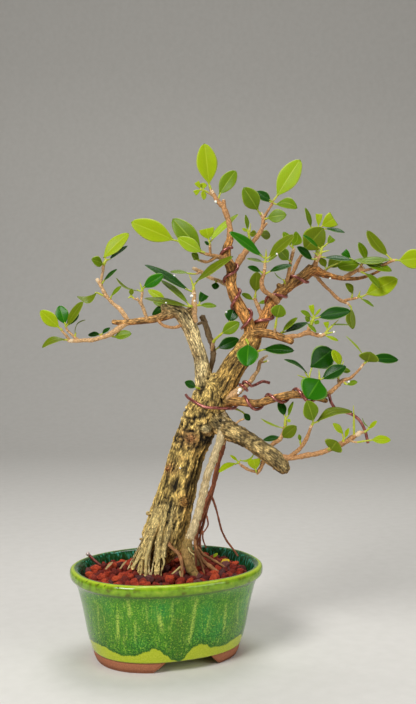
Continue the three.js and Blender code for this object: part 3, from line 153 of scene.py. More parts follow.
def framesAlong(line):  # tangents, and two directions across that turn as little as they can
    tangents = unit(np.gradient(line, axis=0))
    normals = np.zeros_like(line)
    normal = np.array([0, -1, 0.01])  # towards the viewer, and never quite along a limb
    for i, tangent in enumerate(tangents):
        normal = unit(normal - tangent * normal.dot(tangent))
        normals[i] = normal
    return tangents, normals, np.cross(tangents, normals)


def tube(line, radii, marks, sides, shape=None, dome=0.5):
    tangents, normals, sideways = framesAlong(line)
    turns = 2 * math.pi * np.arange(sides) / sides
    around, angle = np.meshgrid(marks, turns, indexing="ij")
    reach = np.repeat(radii[:, None], sides, axis=1)
    if shape:
        reach = reach * shape(around / max(marks[-1], 1e-6), angle)
    out = np.cos(angle)[..., None] * normals[:, None] + np.sin(angle)[..., None] * sideways[:, None]
    rings = line[:, None] + reach[..., None] * out
    ends = np.array([line[0] - tangents[0] * radii[0] * dome, line[-1] + tangents[-1] * radii[-1] * dome])
    points = np.vstack([rings.reshape(-1, 3), ends])
    place = np.vstack([
        np.column_stack([(reach * np.cos(angle)).ravel(), (reach * np.sin(angle)).ravel(), around.ravel()]),
        [[0, 0, 0], [0, 0, marks[-1]]],
    ])
    faces = []
    count = len(line)
    for i in range(count - 1):
        for k in range(sides):
            here, after = i * sides + k, i * sides + (k + 1) % sides
            faces.append([here, after, after + sides, here + sides])
    for k in range(sides):
        after = (k + 1) % sides
        faces.append([after, k, count * sides])
        faces.append([(count - 1) * sides + k, (count - 1) * sides + after, count * sides + 1])
    return points, faces, place


# A heap collects the shapes of one piece before it becomes a mesh.

def newHeap():
    return {"points": [], "faces": [], "finish": [], "place": [], "size": 0}


def addTo(heap, shape, finish):  # finish is one name, or a list with one for each face
    points, faces, place = shape
    heap["faces"] += [[i + heap["size"] for i in face] for face in faces]
    heap["finish"] += finish if isinstance(finish, list) else [finish] * len(faces)
    heap["points"].append(points)
    heap["place"].append(place)
    heap["size"] += len(points)


finishes = {}  # every material by its name


def newObject(name, points, faces):  # its points are in metres, in the part's frame
    mesh = bpy.data.meshes.new(name)
    mesh.from_pydata(points, [], faces)
    made = bpy.data.objects.new(name, mesh)
    bpy.context.collection.objects.link(made)
    return made


def bake(piece):  # what its modifiers make becomes its mesh
    rough = piece.data
    bpy.context.view_layer.update()
    piece.data = bpy.data.meshes.new_from_object(piece.evaluated_get(bpy.context.evaluated_depsgraph_get()))
    piece.modifiers.clear()
    bpy.data.meshes.remove(rough)
    piece.data.name = piece.name


def readPoints(mesh, field):  # the place or the normal of every point
    values = np.empty(len(mesh.vertices) * 3)
    mesh.vertices.foreach_get(field, values)
    return values.reshape(-1, 3)


def setAttribute(piece, name, kind, values):
    field = {"FLOAT": "value", "FLOAT_VECTOR": "vector", "FLOAT_COLOR": "color"}[kind]
    made = piece.data.attributes.new(name, kind, "POINT")
    made.data.foreach_set(field, np.asarray(values, float).ravel())


def setFinish(piece, finish):
    piece.data.materials.clear()
    piece.data.materials.append(finishes[finish])


def dress(piece, replaced=()):
    piece.data.shade_smooth()
    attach(piece, "root")
    if replaced:
        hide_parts(*replaced)
    return piece


def makePiece(name, heap, replaced=()):
    piece = newObject(name, toPart(np.vstack(heap["points"])), heap["faces"])
    used = sorted(set(heap["finish"]))
    for finish in used:
        piece.data.materials.append(finishes[finish])
    piece.data.polygons.foreach_set("material_index", [used.index(finish) for finish in heap["finish"]])
    setAttribute(piece, "place", "FLOAT_VECTOR", np.vstack(heap["place"]))
    return dress(piece, replaced)


# Materials.

def linear(hexColour):  # sRGB hex to the linear colour that a shader takes
    parts = [int(hexColour[i:i + 2], 16) / 255 for i in (1, 3, 5)]
    return [p / 12.92 if p <= 0.04045 else ((p + 0.055) / 1.055) ** 2.4 for p in parts] + [1]


def addNode(tree, kind, settings=None, links=None):  # a link comes from a socket, or a node's main one
    node = tree.nodes.new("ShaderNode" + kind)
    for name, value in (settings or {}).items():
        if name == "stops":  # a colour ramp's places, each with its colour or grey
            ramp = node.color_ramp
            while len(ramp.elements) < len(value):
                ramp.elements.new(0.5)
            for element, (place, colour) in zip(ramp.elements, value):
                element.position = place
                element.color = linear(colour) if isinstance(colour, str) else [colour, colour, colour, 1]
        elif name == "span":  # what a map range goes from and to: least and most of each
            for i, limit in enumerate(value):
                node.inputs[i + 1].default_value = limit
        elif isinstance(name, int) or name in node.inputs:
            node.inputs[name].default_value = linear(value) if isinstance(value, str) else value
        else:
            setattr(node, name, value)
    for name, source in (links or {}).items():
        if isinstance(source, bpy.types.Node):
            source = source.outputs[2 if source.bl_idname == "ShaderNodeMix" else 0]  # a mix's colour
        tree.links.new(source, node.inputs[name])
    return node


def newMaterial(name):  # gives back what adds a node to it
    material = bpy.data.materials.new(name)
    material.use_nodes = True
    material.node_tree.nodes.clear()
    finishes[name] = material
    return partial(addNode, material.node_tree)


def finishWith(add, settings, links):
    shader = add("BsdfPrincipled", settings, links)
    add("OutputMaterial", links={"Surface": shader})


# Living fig leaf: a waxy skin over soft green, so a broad satin gloss, a pale midrib and fine side veins.
leafTones = {  # blade, its edge, veins, margin line, strength of the ribs, roughness
    "lime": ["#8fa305", "#9db210", "#b4c436", "#c0cc50", 0.5, 0.42],
    "pale": ["#8ca614", "#9ab420", "#bccc58", "#c4d068", 0.55, 0.45],
    "bright": ["#236403", "#2d7004", "#5e9a22", "#8cb44c", 0.5, 0.3],
    "green": ["#5f7a06", "#728c0c", "#9cb038", "#a8b848", 0.6, 0.36],
    "olive": ["#5c6c06", "#6c7c0c", "#8c9a2c", "#a4b040", 0.5, 0.38],
    "fallen": ["#c09a18", "#d0ae2c", "#dcc458", "#c8a428", 0.4, 0.5],
    "straw": ["#a0865a", "#b0966a", "#c0a87c", "#c0a87c", 0.3, 0.6],
    # deep: a dark green with painted shade, for leaves that lie in shade
    "deep": ["#133f03", "#1b4c06", "#427622", "#94b060", 0.5, 0.28],
}
leafDetail = {
    "veins": 11, "veinSlant": 0.42, "veinWidth": 0.1, "veinStrength": 0.45, "midrib": [0.024, 0.08],
    "cell": 0.45, "mottle": 6,  # mm
    "line": [0.86, 0.95, 0, 0.85],  # the pale margin: from and to in half widths, and its strengths there
}


def makeLeafMaterial(tone):
    # place holds how far out from the midrib, how far along from the stalk, and a number for each leaf
    colour, edgeColour, veinColour, lineColour, rib, rough = leafTones[tone]
    detail = leafDetail
    add = newMaterial("waxyLeaf." + tone)
    where = add("TexCoord").outputs["Object"]
    place = add("Attribute", {"attribute_name": "place"}).outputs["Vector"]
    across, along = add("SeparateXYZ", links={0: place}).outputs[:2]
    out = add("Math", {"operation": "ABSOLUTE"}, {0: across})
    slant = add("Math", {"operation": "MULTIPLY_ADD", 1: -detail["veinSlant"]}, {0: out, 2: along})
    wave = add("Math", {"operation": "MULTIPLY", 1: detail["veins"]}, {0: slant})
    saw = add("Math", {"operation": "PINGPONG", 1: 0.5}, {0: wave})
    vein = add("MapRange", {"span": [0, detail["veinWidth"], 1, 0]}, {0: saw})
    fade = add("MapRange", {"span": [0.35, 0.95, detail["veinStrength"] * rib, 0]}, {0: out})
    side = add("Math", {"operation": "MULTIPLY"}, {0: vein, 1: fade})
    midrib = add("MapRange", {"span": [*detail["midrib"], rib, 0]}, {0: out})
    ribs = add("Math", {"operation": "MAXIMUM"}, {0: side, 1: midrib})
    mottle = add("TexNoise", {"Scale": 1 / (detail["mottle"] * mm), "Detail": 3}, {"Vector": where})
    cells = add("TexVoronoi", {"Scale": 1 / (detail["cell"] * mm)}, {"Vector": where})
    edge = add("MapRange", {"span": [0.2, 1, 0, 1]}, {0: out})
    lift = add("Math", {"operation": "MULTIPLY"}, {0: edge, 1: mottle})
    blade = add("Mix", {"data_type": "RGBA", 6: colour, 7: edgeColour}, {0: lift})
    veined = add("Mix", {"data_type": "RGBA", 7: veinColour}, {0: ribs, 6: blade})
    margin = add("MapRange", {"span": detail["line"]}, {0: out})
    edged = add("Mix", {"data_type": "RGBA", 7: lineColour}, {0: margin, 6: veined})
    height = add("Math", {"operation": "MULTIPLY_ADD", 1: 0.12},
                 {0: cells.outputs["Distance"], 2: ribs})
    bump = add("Bump", {"Strength": 0.4, "Distance": 0.3 * mm, "invert": True}, {"Height": height})
    finishWith(add, {"Roughness": rough, "IOR": 1.42, "Specular IOR Level": 0.2, "Subsurface Weight": 0.1,
                     "Subsurface Radius": (0.4, 1, 0.1), "Subsurface Scale": 1.5 * mm},
               {"Base Color": edged, "Normal": bump})


# Fig bark: dry and matt, with stretched fibres, painted darker in its cracks as shade and paler on its ridges
# as highlight. Sizes are in mm.
barkTones = {  # tint, patches, width of the fibres, how far they are stretched, depth, roughness
    "trunkBark": ["#a58c4c", "#7d6034", 1.1, 3.5, 1.5, 0.8],
    "twigBark": ["#c08e5c", "#a87444", 0.9, 2.5, 0.5, 0.65],
    "rootBark": ["#cfb98c", "#a88a5a", 1, 5, 0.5, 0.8],
    "mossyRootBark": ["#a8864e", "#6c642e", 1.3, 3, 0.9, 0.8],
    "redRootBark": ["#94573a", "#6c3826", 0.9, 6, 0.5, 0.75],
    "tanRootBark": ["#a8784c", "#7c4c30", 0.9, 6, 0.5, 0.75],
    "creamRootBark": ["#d0bc7c", "#c8a040", 0.9, 5, 0.5, 0.75],
    "deadWood": ["#8a7354", "#5c4430", 1, 6, 0.8, 0.9],
    "paleTwigBark": ["#d2a876", "#bc8a56", 0.9, 2.5, 0.4, 0.6],
}
barkDetail = {
    "patch": 9, "pore": 1.8,  # mm
    # the fibres also raise the bump, so this is painted shade in their grooves and painted highlight on their
    # tops
    "shade": [[0.35, -0.88], [0.47, -0.34], [0.57, 0.1], [0.67, 1.1]],  # how much lighter each fibre is
    "onTrunk": 1, "onTwigs": 0.6,  # how strong that is
    # painted shade where the skin sinks into cracks, and painted highlight where it stands out
    "cracks": [[0.18, 0.05], [0.38, 0.4], [0.56, 0.98], [0.8, 2.3]],  # by how far the skin stands out
}


def makeBark(name):
    # place holds how far out, across and along the limb, in mm; relief is how far the skin stands out
    tint, patchColour, fibre, stretch, depth, rough = barkTones[name]
    detail = barkDetail
    onTrunk = name == "trunkBark"
    add = newMaterial(name)
    place = add("Attribute", {"attribute_name": "place"}).outputs["Vector"]
    along = add("VectorMath", {"operation": "MULTIPLY", 1: (1, 1, 1 / stretch)}, {0: place})
    fibres = add("TexNoise", {"Scale": 1 / fibre, "Detail": 5, "Roughness": 0.62},
                 {"Vector": along})
    patches = add("TexNoise", {"Scale": 1 / detail["patch"], "Detail": 3}, {"Vector": place})
    pores = add("TexVoronoi", {"Scale": 1 / detail["pore"]}, {"Vector": place})
    contrast = detail["onTrunk" if onTrunk else "onTwigs"]
    # Each fibre is painted lighter or darker with the bump that it raises: painted shade and painted
    # highlight.
    stops = [[at, 1 + contrast * change] for at, change in detail["shade"]]
    shade = add("ValToRGB", {"stops": stops}, {0: fibres})
    patch = add("MapRange", {"span": [0.48, 0.7, 0, 0.6]}, {0: patches})
    links = {0: patch}
    if onTrunk:  # each limb has a tint of its own
        links[6] = add("Attribute", {"attribute_name": "tint"}).outputs["Color"]
    weathered = add("Mix", {"data_type": "RGBA", 6: tint, 7: patchColour}, links)
    colour = add("Mix", {"data_type": "RGBA", "blend_type": "MULTIPLY", 0: 1}, {6: weathered, 7: shade})
    if onTrunk:
        # The relief paints the cracks darker, as painted shade, and the ridges lighter, as painted highlight.
        relief = add("Attribute", {"attribute_name": "relief"}).outputs["Fac"]
        crackShadeAndHighlight = add("ValToRGB", {"stops": detail["cracks"]}, {0: relief})
        colour = add("Mix", {"data_type": "RGBA", "blend_type": "MULTIPLY", 0: 1},
                     {6: colour, 7: crackShadeAndHighlight})
    pore = add("MapRange", {"span": [0, 0.3, -0.5, 0]}, {0: pores.outputs["Distance"]})
    height = add("Math", {"operation": "ADD"}, {0: fibres, 1: pore})
    bump = add("Bump", {"Strength": 0.9, "Distance": depth * mm}, {"Height": height})
    finishWith(add, {"Roughness": rough, "IOR": 1.45, "Specular IOR Level": 0.35},
               {"Base Color": colour, "Normal": bump})


# Finishes with one grain. Its size and the depth of its bumps are in mm.
grainedFinishes = {
    # freshly cut fig wood: pale, matt, with fine dark pores
    "cutWood": {"grain": 0.7, "detail": 4, "stops": [[0.3, "#a8804e"], [0.55, "#e6cba2"], [0.75, "#f2e2c4"]],
                "skin": {"Roughness": 0.75}},
    # leaf stalks and buds: the same wax as the leaf, yellow green with a red blush
    "leafStalk": {"grain": 3, "detail": 2, "stops": [[0.35, "#9fb022"], [0.6, "#b9bc38"], [0.75, "#c49a48"]],
                  "skin": {"Roughness": 0.4, "Subsurface Weight": 0.1, "Subsurface Scale": 1 * mm}},
    # dried drops of fig sap: white, smooth, a little waxy
    "driedSap": {"grain": 0.8, "detail": 2, "stops": [[0.3, "#e9e4d6"], [0.6, "#fbfaf4"]],
                 "skin": {"Roughness": 0.3, "Subsurface Weight": 0.2, "Subsurface Scale": 1 * mm}},
    # the pot's unglazed foot, of fired clay: matt and a little sandy
    "bareTerracotta": {"grain": 0.9, "detail": 5,
                       "stops": [[0.3, "#94573c"], [0.55, "#ac6a48"], [0.75, "#be805a"]],
                       "skin": {"Roughness": 0.85}, "bump": {"Strength": 0.25, "Distance": 0.2 * mm}},
    # damp potting mix: near black, with brown crumbs
    "pottingMix": {"grain": 2, "detail": 6, "stops": [[0.35, "#120a07"], [0.6, "#2b1a12"], [0.75, "#4d3524"]],
                   "skin": {"Roughness": 0.95}, "bump": {"Strength": 1, "Distance": 1.5 * mm}},
}


def makeGrained(name):
    look = grainedFinishes[name]
    add = newMaterial(name)
    where = add("TexCoord").outputs["Object"]
    grain = add("TexNoise", {"Scale": 1 / (look["grain"] * mm), "Detail": look["detail"]},
                {"Vector": where})
    links = {"Base Color": add("ValToRGB", {"stops": look["stops"]}, {0: grain})}
    if "bump" in look:
        links["Normal"] = add("Bump", look["bump"], {"Height": grain})
    finishWith(add, look["skin"], links)


# The wires: brown anodised aluminium, metal under a thin dyed skin, satin with drawn lines, with pale pink
# patches of painted highlight. Sizes are in mm.
wireLook = {"lines": 0.35, "stretch": 0.08, "wearAndSheen": 4, "shear": 0.5,
            "dyeAndSheen": [[0.3, "#6c332b"], [0.5, "#964e44"], [0.75, "#c48274"]],
            "bare": [[0.35, "#b89c94"], [0.65, "#efe4de"]]}


def makeWireMetal():
    add = newMaterial("anodisedAluminium")
    place = add("Attribute", {"attribute_name": "place"}).outputs["Vector"]
    drawn = add("VectorMath", {"operation": "MULTIPLY", 1: (1, 1, wireLook["stretch"])}, {0: place})
    lines = add("TexNoise", {"Scale": 1 / wireLook["lines"], "Detail": 3}, {"Vector": drawn})
    # Broad patches go from the dye's brown to a pale pink painted highlight.
    wearAndSheen = add("TexNoise", {"Scale": 1 / wireLook["wearAndSheen"], "Detail": 4}, {"Vector": place})
    colour = add("ValToRGB", {"stops": wireLook["dyeAndSheen"]}, {0: wearAndSheen})
    gloss = add("MapRange", {"span": [0, 1, 0.22, 0.4]}, {0: lines})
    finishWith(add, {"Metallic": 0.6, "Coat Weight": 0.4, "Coat Roughness": 0.2},
               {"Base Color": colour, "Roughness": gloss})


def makeCutMetal():  # bare aluminium where the wire was cut: bright, with fine shear marks
    add = newMaterial("cutAluminium")
    place = add("Attribute", {"attribute_name": "place"}).outputs["Vector"]
    marks = add("TexNoise", {"Scale": 1 / wireLook["shear"], "Detail": 3}, {"Vector": place})
    colour = add("ValToRGB", {"stops": wireLook["bare"]}, {0: marks})
    finishWith(add, {"Metallic": 0.5, "Roughness": 0.4}, {"Base Color": colour})


# Glazed stoneware: a thick green glaze that ran while it was fired, grainy with dark and golden specks, with
# a wet gloss, pale streaks, emerald and olive bands, and a lime band of thinner glaze below the runs. A dark
# line just under the rim is painted shadow of its overhang, the rim's top edge is painted paler as a
# highlight, and the inside wall is painted dark as shade. Sizes are in mm.
glazeLook = {
    "body": "#4f9412", "olive": "#4a6c0c", "emerald": "#2a9a38", "streak": "#bcd458", "dark": "#17500c",
    # Just under the rim the glaze is painted darker as the shadow of its overhang, and the rim's top edge
    # paler as a highlight.
    "gold": "#a8c436", "seam": "#4a5f10", "lip": "#b0c62c", "pit": "#1c1206",
    "runLength": 60, "edgeGrain": 6,
}
glazeNoises = {"grain": [1.5, {"Detail": 2, "Roughness": 0.6}], "runs": [2.6, {"Detail": 3}],
               "cloud": [7, {"Detail": 4}], "ripple": [6, {"Detail": 2}]}
# What the pot's mesh tells the glaze: mm above the runs' edge, how near the rim and how far inside, where the
# wall is painted dark as shade; the rim's top edge, painted paler as a highlight, the painted shadow line
# just under the rim, and the rim's pits; and how strong the streaks and bands are.
glazeFields = {"glaze": ["above", "rim", "inside"], "lip": ["lip", "seam", "pits"],
               "flow": ["streak", "emerald", "olive"]}
glazeRamps = {
    "band": ["grain", [[0.4, "#aebe1c"], [0.65, "#c2cc34"]]],
    "worn": ["cloud", [[0.34, "#5f6a12"], [0.48, "#739a18"], [0.62, "#83a81e"], [0.7, "#96ae2c"]]],
    # the inside wall: its green painted dark, as painted shade
    "deep": ["runs", [[0.38, "#0c3012"], [0.56, "#185426"], [0.7, "#3f9a88"]]],
}
# The layers over the body, the lowest first: colour, field that it follows, and a range that weakens it:
# the field that it goes by, from and to in that field, and the strengths there.
glazeLayers = [
    ["olive", "olive", ["runs", 0.3, 0.6, 0, 1]],
    ["emerald", "emerald", ["runs", 0.65, 0.35, 0.4, 1]],
    ["dark", None, ["runs", 0.46, 0.34, 0, 0.45]],
    ["streak", None, ["runs", 0.58, 0.7, 0, 0.4]],
    ["streak", "streak", ["grain", 0.3, 0.55, 0.25, 1]],
    ["dark", "near", ["grain", 0.52, 0.42, 0, 0.95]],
    ["gold", None, ["grain", 0.59, 0.68, 0, 0.8]],
    ["dark", None, ["above", 0, 7, 0.6, 0]],
    ["band", None, ["ragged", 3.25, 2.75, 0, 1]],
    ["worn", "rim", None],
    # painted shadow: a dark line just under the rim's overhang
    ["seam", "seam", None],
    # painted highlight: the rim's top edge painted paler
    ["lip", "lip", None],
    # painted shade: the inside wall painted dark
    ["deep", "inside", None],
    ["pit", "pits", None],
]


def makeGlaze():
    look = glazeLook
    add = newMaterial("glazedStoneware")
    fields = {}
    for name, parts in glazeFields.items():
        field = add("Attribute", {"attribute_name": name}).outputs["Vector"]
        fields.update(zip(parts, add("SeparateXYZ", links={0: field}).outputs))
    place = add("Attribute", {"attribute_name": "place"}).outputs["Vector"]
    run = add("VectorMath", {"operation": "MULTIPLY", 1: (1, 1, glazeNoises["runs"][0] / look["runLength"])},
              {0: place})
    for name, (size, settings) in glazeNoises.items():
        where = run if name == "runs" else place
        fields[name] = add("TexNoise", {"Scale": 1 / size, **settings}, {"Vector": where})
    fields["near"] = add("MapRange", {"span": [0, 30, 1, 0.5]}, {0: fields["above"]})
    fields["ragged"] = add("Math", {"operation": "MULTIPLY_ADD", 1: look["edgeGrain"]},
                           {0: fields["grain"], 2: fields["above"]})
    ramps = {name: add("ValToRGB", {"stops": stops}, {0: fields[field]})
             for name, (field, stops) in glazeRamps.items()}
    colour = None
    for paint, field, weakened in glazeLayers:
        share = fields.get(field)
        if weakened:
            share = add("MapRange", {"span": weakened[1:]}, {0: fields[weakened[0]]})
        if weakened and field:
            share = add("Math", {"operation": "MULTIPLY"}, {0: fields[field], 1: share})
        settings, links = {"data_type": "RGBA", 6: look["body"]}, {0: share}
        if colour:
            links[6] = colour
        if paint in ramps:
            links[7] = ramps[paint]
        else:
            settings[7] = look[paint]
        colour = add("Mix", settings, links)
    height = add("Math", {"operation": "MULTIPLY_ADD", 1: -0.6},
                 {0: fields["pits"], 2: fields["ripple"]})
    bump = add("Bump", {"Strength": 0.22, "Distance": 1 * mm}, {"Height": height})
    finishWith(add, {"Roughness": 0.14, "IOR": 1.5, "Specular IOR Level": 0.35, "Coat Weight": 0.2,
                     "Coat Roughness": 0.05}, {"Base Color": colour, "Normal": bump})


# Scoria, which is foamed lava stone: dull and full of small holes. Sizes are in mm.
# Each tone runs from painted shade in the holes, through its own colour, to a painted highlight on the raised
# crust.
lavaTones = {"rust": ["#300804", "#8e2408", "#be4a22"], "brick": ["#220604", "#6a1606", "#923014"],
             "plum": ["#1e0c0c", "#5a2a26", "#86544c"]}
lavaDetail = {"holes": 1.1, "crust": 1.6, "depth": 0.8, "stops": [0.08, 0.34, 0.62]}


def makeLava(tone):
    detail = lavaDetail
    add = newMaterial("lavaStone." + tone)
    where = add("TexCoord").outputs["Object"]
    shade = add("Attribute", {"attribute_name": "shade"}).outputs["Fac"]  # each lump's own
    holes = add("TexVoronoi", {"Scale": 1 / (detail["holes"] * mm)}, {"Vector": where})
    crust = add("TexNoise", {"Scale": 1 / (detail["crust"] * mm), "Detail": 6, "Roughness": 0.7},
                {"Vector": where})
    # The colour follows the bump: the holes and low crust are painted dark as shade, the raised crust light
    # as highlight.
    depth = add("MapRange", {"span": [0, 0.45, 0, 1]}, {0: holes.outputs["Distance"]})
    skin = add("Math", {"operation": "MULTIPLY"}, {0: depth, 1: crust})
    lit = add("Math", {"operation": "MULTIPLY"}, {0: skin, 1: shade})
    colour = add("ValToRGB", {"stops": list(zip(detail["stops"], lavaTones[tone]))}, {0: lit})
    bump = add("Bump", {"Strength": 0.9, "Distance": detail["depth"] * mm}, {"Height": skin})
    finishWith(add, {"Roughness": 0.95}, {"Base Color": colour, "Normal": bump})


def makeMeshPlastic():  # polyethylene drain mesh: moulded, satin black
    add = newMaterial("polyethyleneMesh")
    where = add("TexCoord").outputs["Object"]
    skin = add("TexNoise", {"Scale": 1 / (1 * mm)}, {"Vector": where})
    gloss = add("MapRange", {"span": [0, 1, 0.4, 0.65]}, {0: skin})
    finishWith(add, {"Base Color": "#1a1a1a"}, {"Roughness": gloss})


for makeEach, names in ((makeLeafMaterial, leafTones), (makeBark, barkTones), (makeLava, lavaTones),
                        (makeGrained, grainedFinishes)):
    for name in names:
        makeEach(name)
makeWireMetal()
makeCutMetal()
makeGlaze()
makeMeshPlastic()
print("materials:", len(finishes))

# Wood. Each limb's stations are [across, down, back, radius]; the first ones lie inside what it grows from.
limbs = {
    "trunk": [[150, 592, 20, 12], [150, 577, 20, 12.5], [152, 564, 20, 13.5], [157.5, 552, 18, 18.5],
     [163, 541, 17, 24], [169, 521, 16, 23], [175, 500, 15, 22.3], [180, 480, 14, 20.4], [184, 465, 14, 20],
     [188, 450, 13, 19.4], [197, 430, 12, 20.5], [204, 413, 11, 21], [211, 398, 10, 19.5], [214, 384, 9, 15],
     [214, 376, 9, 8]],
    "leftLimb": [[207, 396, 10, 12], [203, 374, 10, 9.4], [201, 360, 8, 8], [198, 350, 6, 8],
     [195, 342, 5, 8], [192, 332, 4, 8.4], [187, 322, 3, 8.8], [180, 313, 2, 8], [171, 309, 1, 7.4],
     [163, 306.5, 0, 6.2]],
    "limbKnob": [[184, 320, 4, 7], [191, 311, 6, 6], [194, 306, 6, 3.6]],
    "deadBranch": [[209, 374, 18, 3.2], [213, 357, 22, 3], [212, 345, 22, 3.2], [207, 330, 19, 3.4],
     [202, 316, 16, 3]],
    "deadSpur": [[207, 332, 19, 2], [203, 323, 12, 1.8], [198, 324, 7, 1.6]],
    "loopTwig": [[157, 319, -4, 1.8], [163, 325, -6, 1.7], [170, 327.5, -5, 1.7], [177, 327, -2, 1.8],
     [185, 323, 1, 2]],
    "leftBranch": [[174, 312, 1, 6.4], [160, 317.5, -2, 4.6], [145, 320.5, -6, 3.9], [130, 322, -10, 3.5],
     [121, 322.6, -12, 3.2], [112.5, 322, -14, 2.8]],
    "rightLimb": [[215, 400, 9, 15], [224, 384, 8, 14.5], [235, 365, 6, 13.4], [246, 350, 4, 12.4],
     [252, 339, 2, 11], [256, 331, 2, 7.6]],
    "apexBranch": [[251, 340, 2, 8], [249, 325, 0, 6.6], [241, 309, -3, 6.6], [234, 295, -4, 6.2],
     [231, 283, -3, 5.8], [231.5, 270, -2, 5.8], [227, 258, 0, 5.1], [227, 248, 2, 5], [230, 240, 3, 4.2],
     [230, 231, 4, 3.4]],
    "upperLimb": [[251, 342, 3, 8], [258, 331, 3, 7.2], [264, 320, 4, 6.4], [271, 305, 7, 6.2],
     [279, 294, 10, 6.4], [290, 285, 14, 6.2], [303, 277, 18, 6], [313, 270, 21, 6.4], [322, 273.5, 24, 4.4],
     [335, 277, 27, 3], [345, 278.5, 29, 2.8], [357, 278.5, 31, 2.2], [369, 275.5, 34, 1.8],
     [382, 269.5, 37, 1.6]],
    "upperStrand": [[282, 291, 6, 2.6], [291, 282, 9, 2.6], [300, 275, 13, 2.6], [310, 265.5, 18, 2.6]],
    "upperStub": [[281, 294, 10, 3.4], [278.5, 284, 9, 3]],
    "middleBranch": [[250, 337, 0, 6.4], [258, 333, -6, 5.4], [270, 334, -12, 4.8], [283, 338, -18, 4.2],
     [292.5, 342, -23, 3.4]],
    "wiredBranch": [[224, 402, 6, 7], [233, 401, -2, 5.8], [243, 402, -8, 4.8], [257, 403.5, -13, 4.6],
     [276, 398, -19, 4.4], [295, 394.5, -26, 4.4], [312, 396.5, -32, 3.9], [327, 401, -37, 2.8]],
    "lowBranch": [[214, 416, 6, 14], [224, 427, -2, 12], [233, 432.5, -9, 11], [248, 440, -18, 9.6],
     [261, 449, -26, 9.6], [274, 458, -33, 9.8], [282, 466, -38, 8.4], [286, 471.5, -41, 5.6]],
    "lowSpur": [[226, 436, -4, 2.6], [223, 444, -9, 1.8]],
    "lowSpurUnder": [[272, 460, -33, 1.6], [274, 469.5, -34, 1.1]],
    "lowSpurTop": [[234, 426, -8, 1.4], [239, 421, -10, 1.1], [244, 419, -12, 0.9]],
    "propRoot": [[222, 414, 2, 5.4], [223, 424, -7, 4.8], [220, 440, -10, 4.5], [213, 460, -11, 4.4],
     [206, 480, -12, 4.2], [202, 498, -13, 4.3], [200, 507, -13.5, 4.4], [198, 515, -14, 4.5],
     [197.2, 517.5, -14, 5.1], [196, 520, -14, 4.6], [192, 532, -16, 4.9], [188, 543, -17, 5.4],
     [187, 549, -18, 6.2], [188, 560, -20, 6], [192, 570, -21, 5], [197, 579, -22, 3.4],
     [198, 588, -21, 2.4]],
    "knobLeft": [[162, 515, 12, 5], [151, 513.8, 8, 2.6], [146.5, 513, 7, 2.2]],
    "knobLow": [[150, 541, 12, 4], [143, 539.5, 9, 2], [139.8, 538.8, 8, 1.4]],
    "knobMiddle": [[176, 468, 4, 5], [168, 468.5, 2, 2.4], [165.5, 469, 2, 1.8]],
    "scarLow": [[152, 533, 0, 5], [149.5, 533, -7, 3.6]],
    "scarFront": [[183, 501, 2, 8], [183, 501, -6, 4.4]],
    "knobHigh": [[192, 418, 8, 8], [184.5, 415, 6, 3.6]],
    "knobFront": [[190, 438, 8, 14], [192, 437, -8, 5]],
    "scarUpper": [[206, 430, 2, 9], [206, 429, -10, 5]],
}

# Roots that spread from the trunk's foot into the soil.
rootFingers = [
    [[156, 508, 6, 2], [152, 522, 1, 2.4], [147, 537, -1, 2.6], [141.5, 550, -3, 2.2], [137, 560, -7, 1.6],
     [133, 570, -11, 1.3]],
    [[157, 508, 2, 2], [152, 524, -4, 2.6], [146, 541, -5, 3], [142.5, 554, -8, 2.2], [139.5, 566, -13, 1.7],
     [138, 577, -18, 1.4]],
    [[161, 508, -1, 2], [157, 524, -6, 2.4], [151, 540, -8, 2.8], [148, 552, -12, 2], [146, 565, -20, 1.6],
     [146, 578, -26, 1.3]],
    [[167, 506, -3, 2], [163, 524, -7, 2.4], [159.5, 540, -9, 2.4], [158, 552, -12, 1.8],
     [156.5, 565, -18, 1.4], [155, 580, -28, 1.2]],
    [[173, 506, -3, 2], [170, 524, -6, 2.4], [167, 538, -8, 2.2], [163.5, 549, -11, 1.6],
     [162, 558, -14, 1.2]],
    [[178, 536, 18, 6], [188, 555, 22, 4], [200, 566, 22, 2.6], [212, 575, 18, 2]],
    [[174, 536, 30, 7], [186, 553, 40, 4], [200, 560, 50, 2.6], [212, 568, 52, 1.8]],
    [[163, 532, 34, 7], [166, 549, 48, 4], [172, 560, 60, 2.6], [176, 570, 66, 1.8]],
    [[155, 530, 30, 6], [149, 547, 42, 4], [144, 559, 53, 2.6], [140, 569, 58, 1.8]],
    [[151, 532, 22, 5], [145, 546, 24, 3.2], [140, 556, 26, 2.2], [135.5, 565, 27, 1.6]],
]
# Strands beside those roots, which make the foot's fibrous ridges. Their shifts are in mm.
ridges = {
    "seed": 5, "each": 5, "across": 3.4, "down": 5, "back": 2.5, "size": 0.5, "sizes": [0.7, 1.2],
    "least": 0.9, "spread": [0.5, 0.25],  # the share of its shift across at its start, and more per station
}


def rootRidges():
    random = np.random.default_rng(ridges["seed"])
    start, gain = ridges["spread"]
    strands = []
    for root in rootFingers:
        for _ in range(ridges["each"]):
            shift = random.uniform(-1, 1, 3) * [ridges["across"], ridges["down"], ridges["back"]]
            aside, lower, behind = shift
            size = random.uniform(*ridges["sizes"]) * ridges["size"]
            strands.append([
                [across + aside * (start + gain * i), down + (0 if i in (0, len(root) - 1) else lower),
                 back + behind, max(radius * size, ridges["least"])]
                for i, (across, down, back, radius) in enumerate(root)])
    return strands


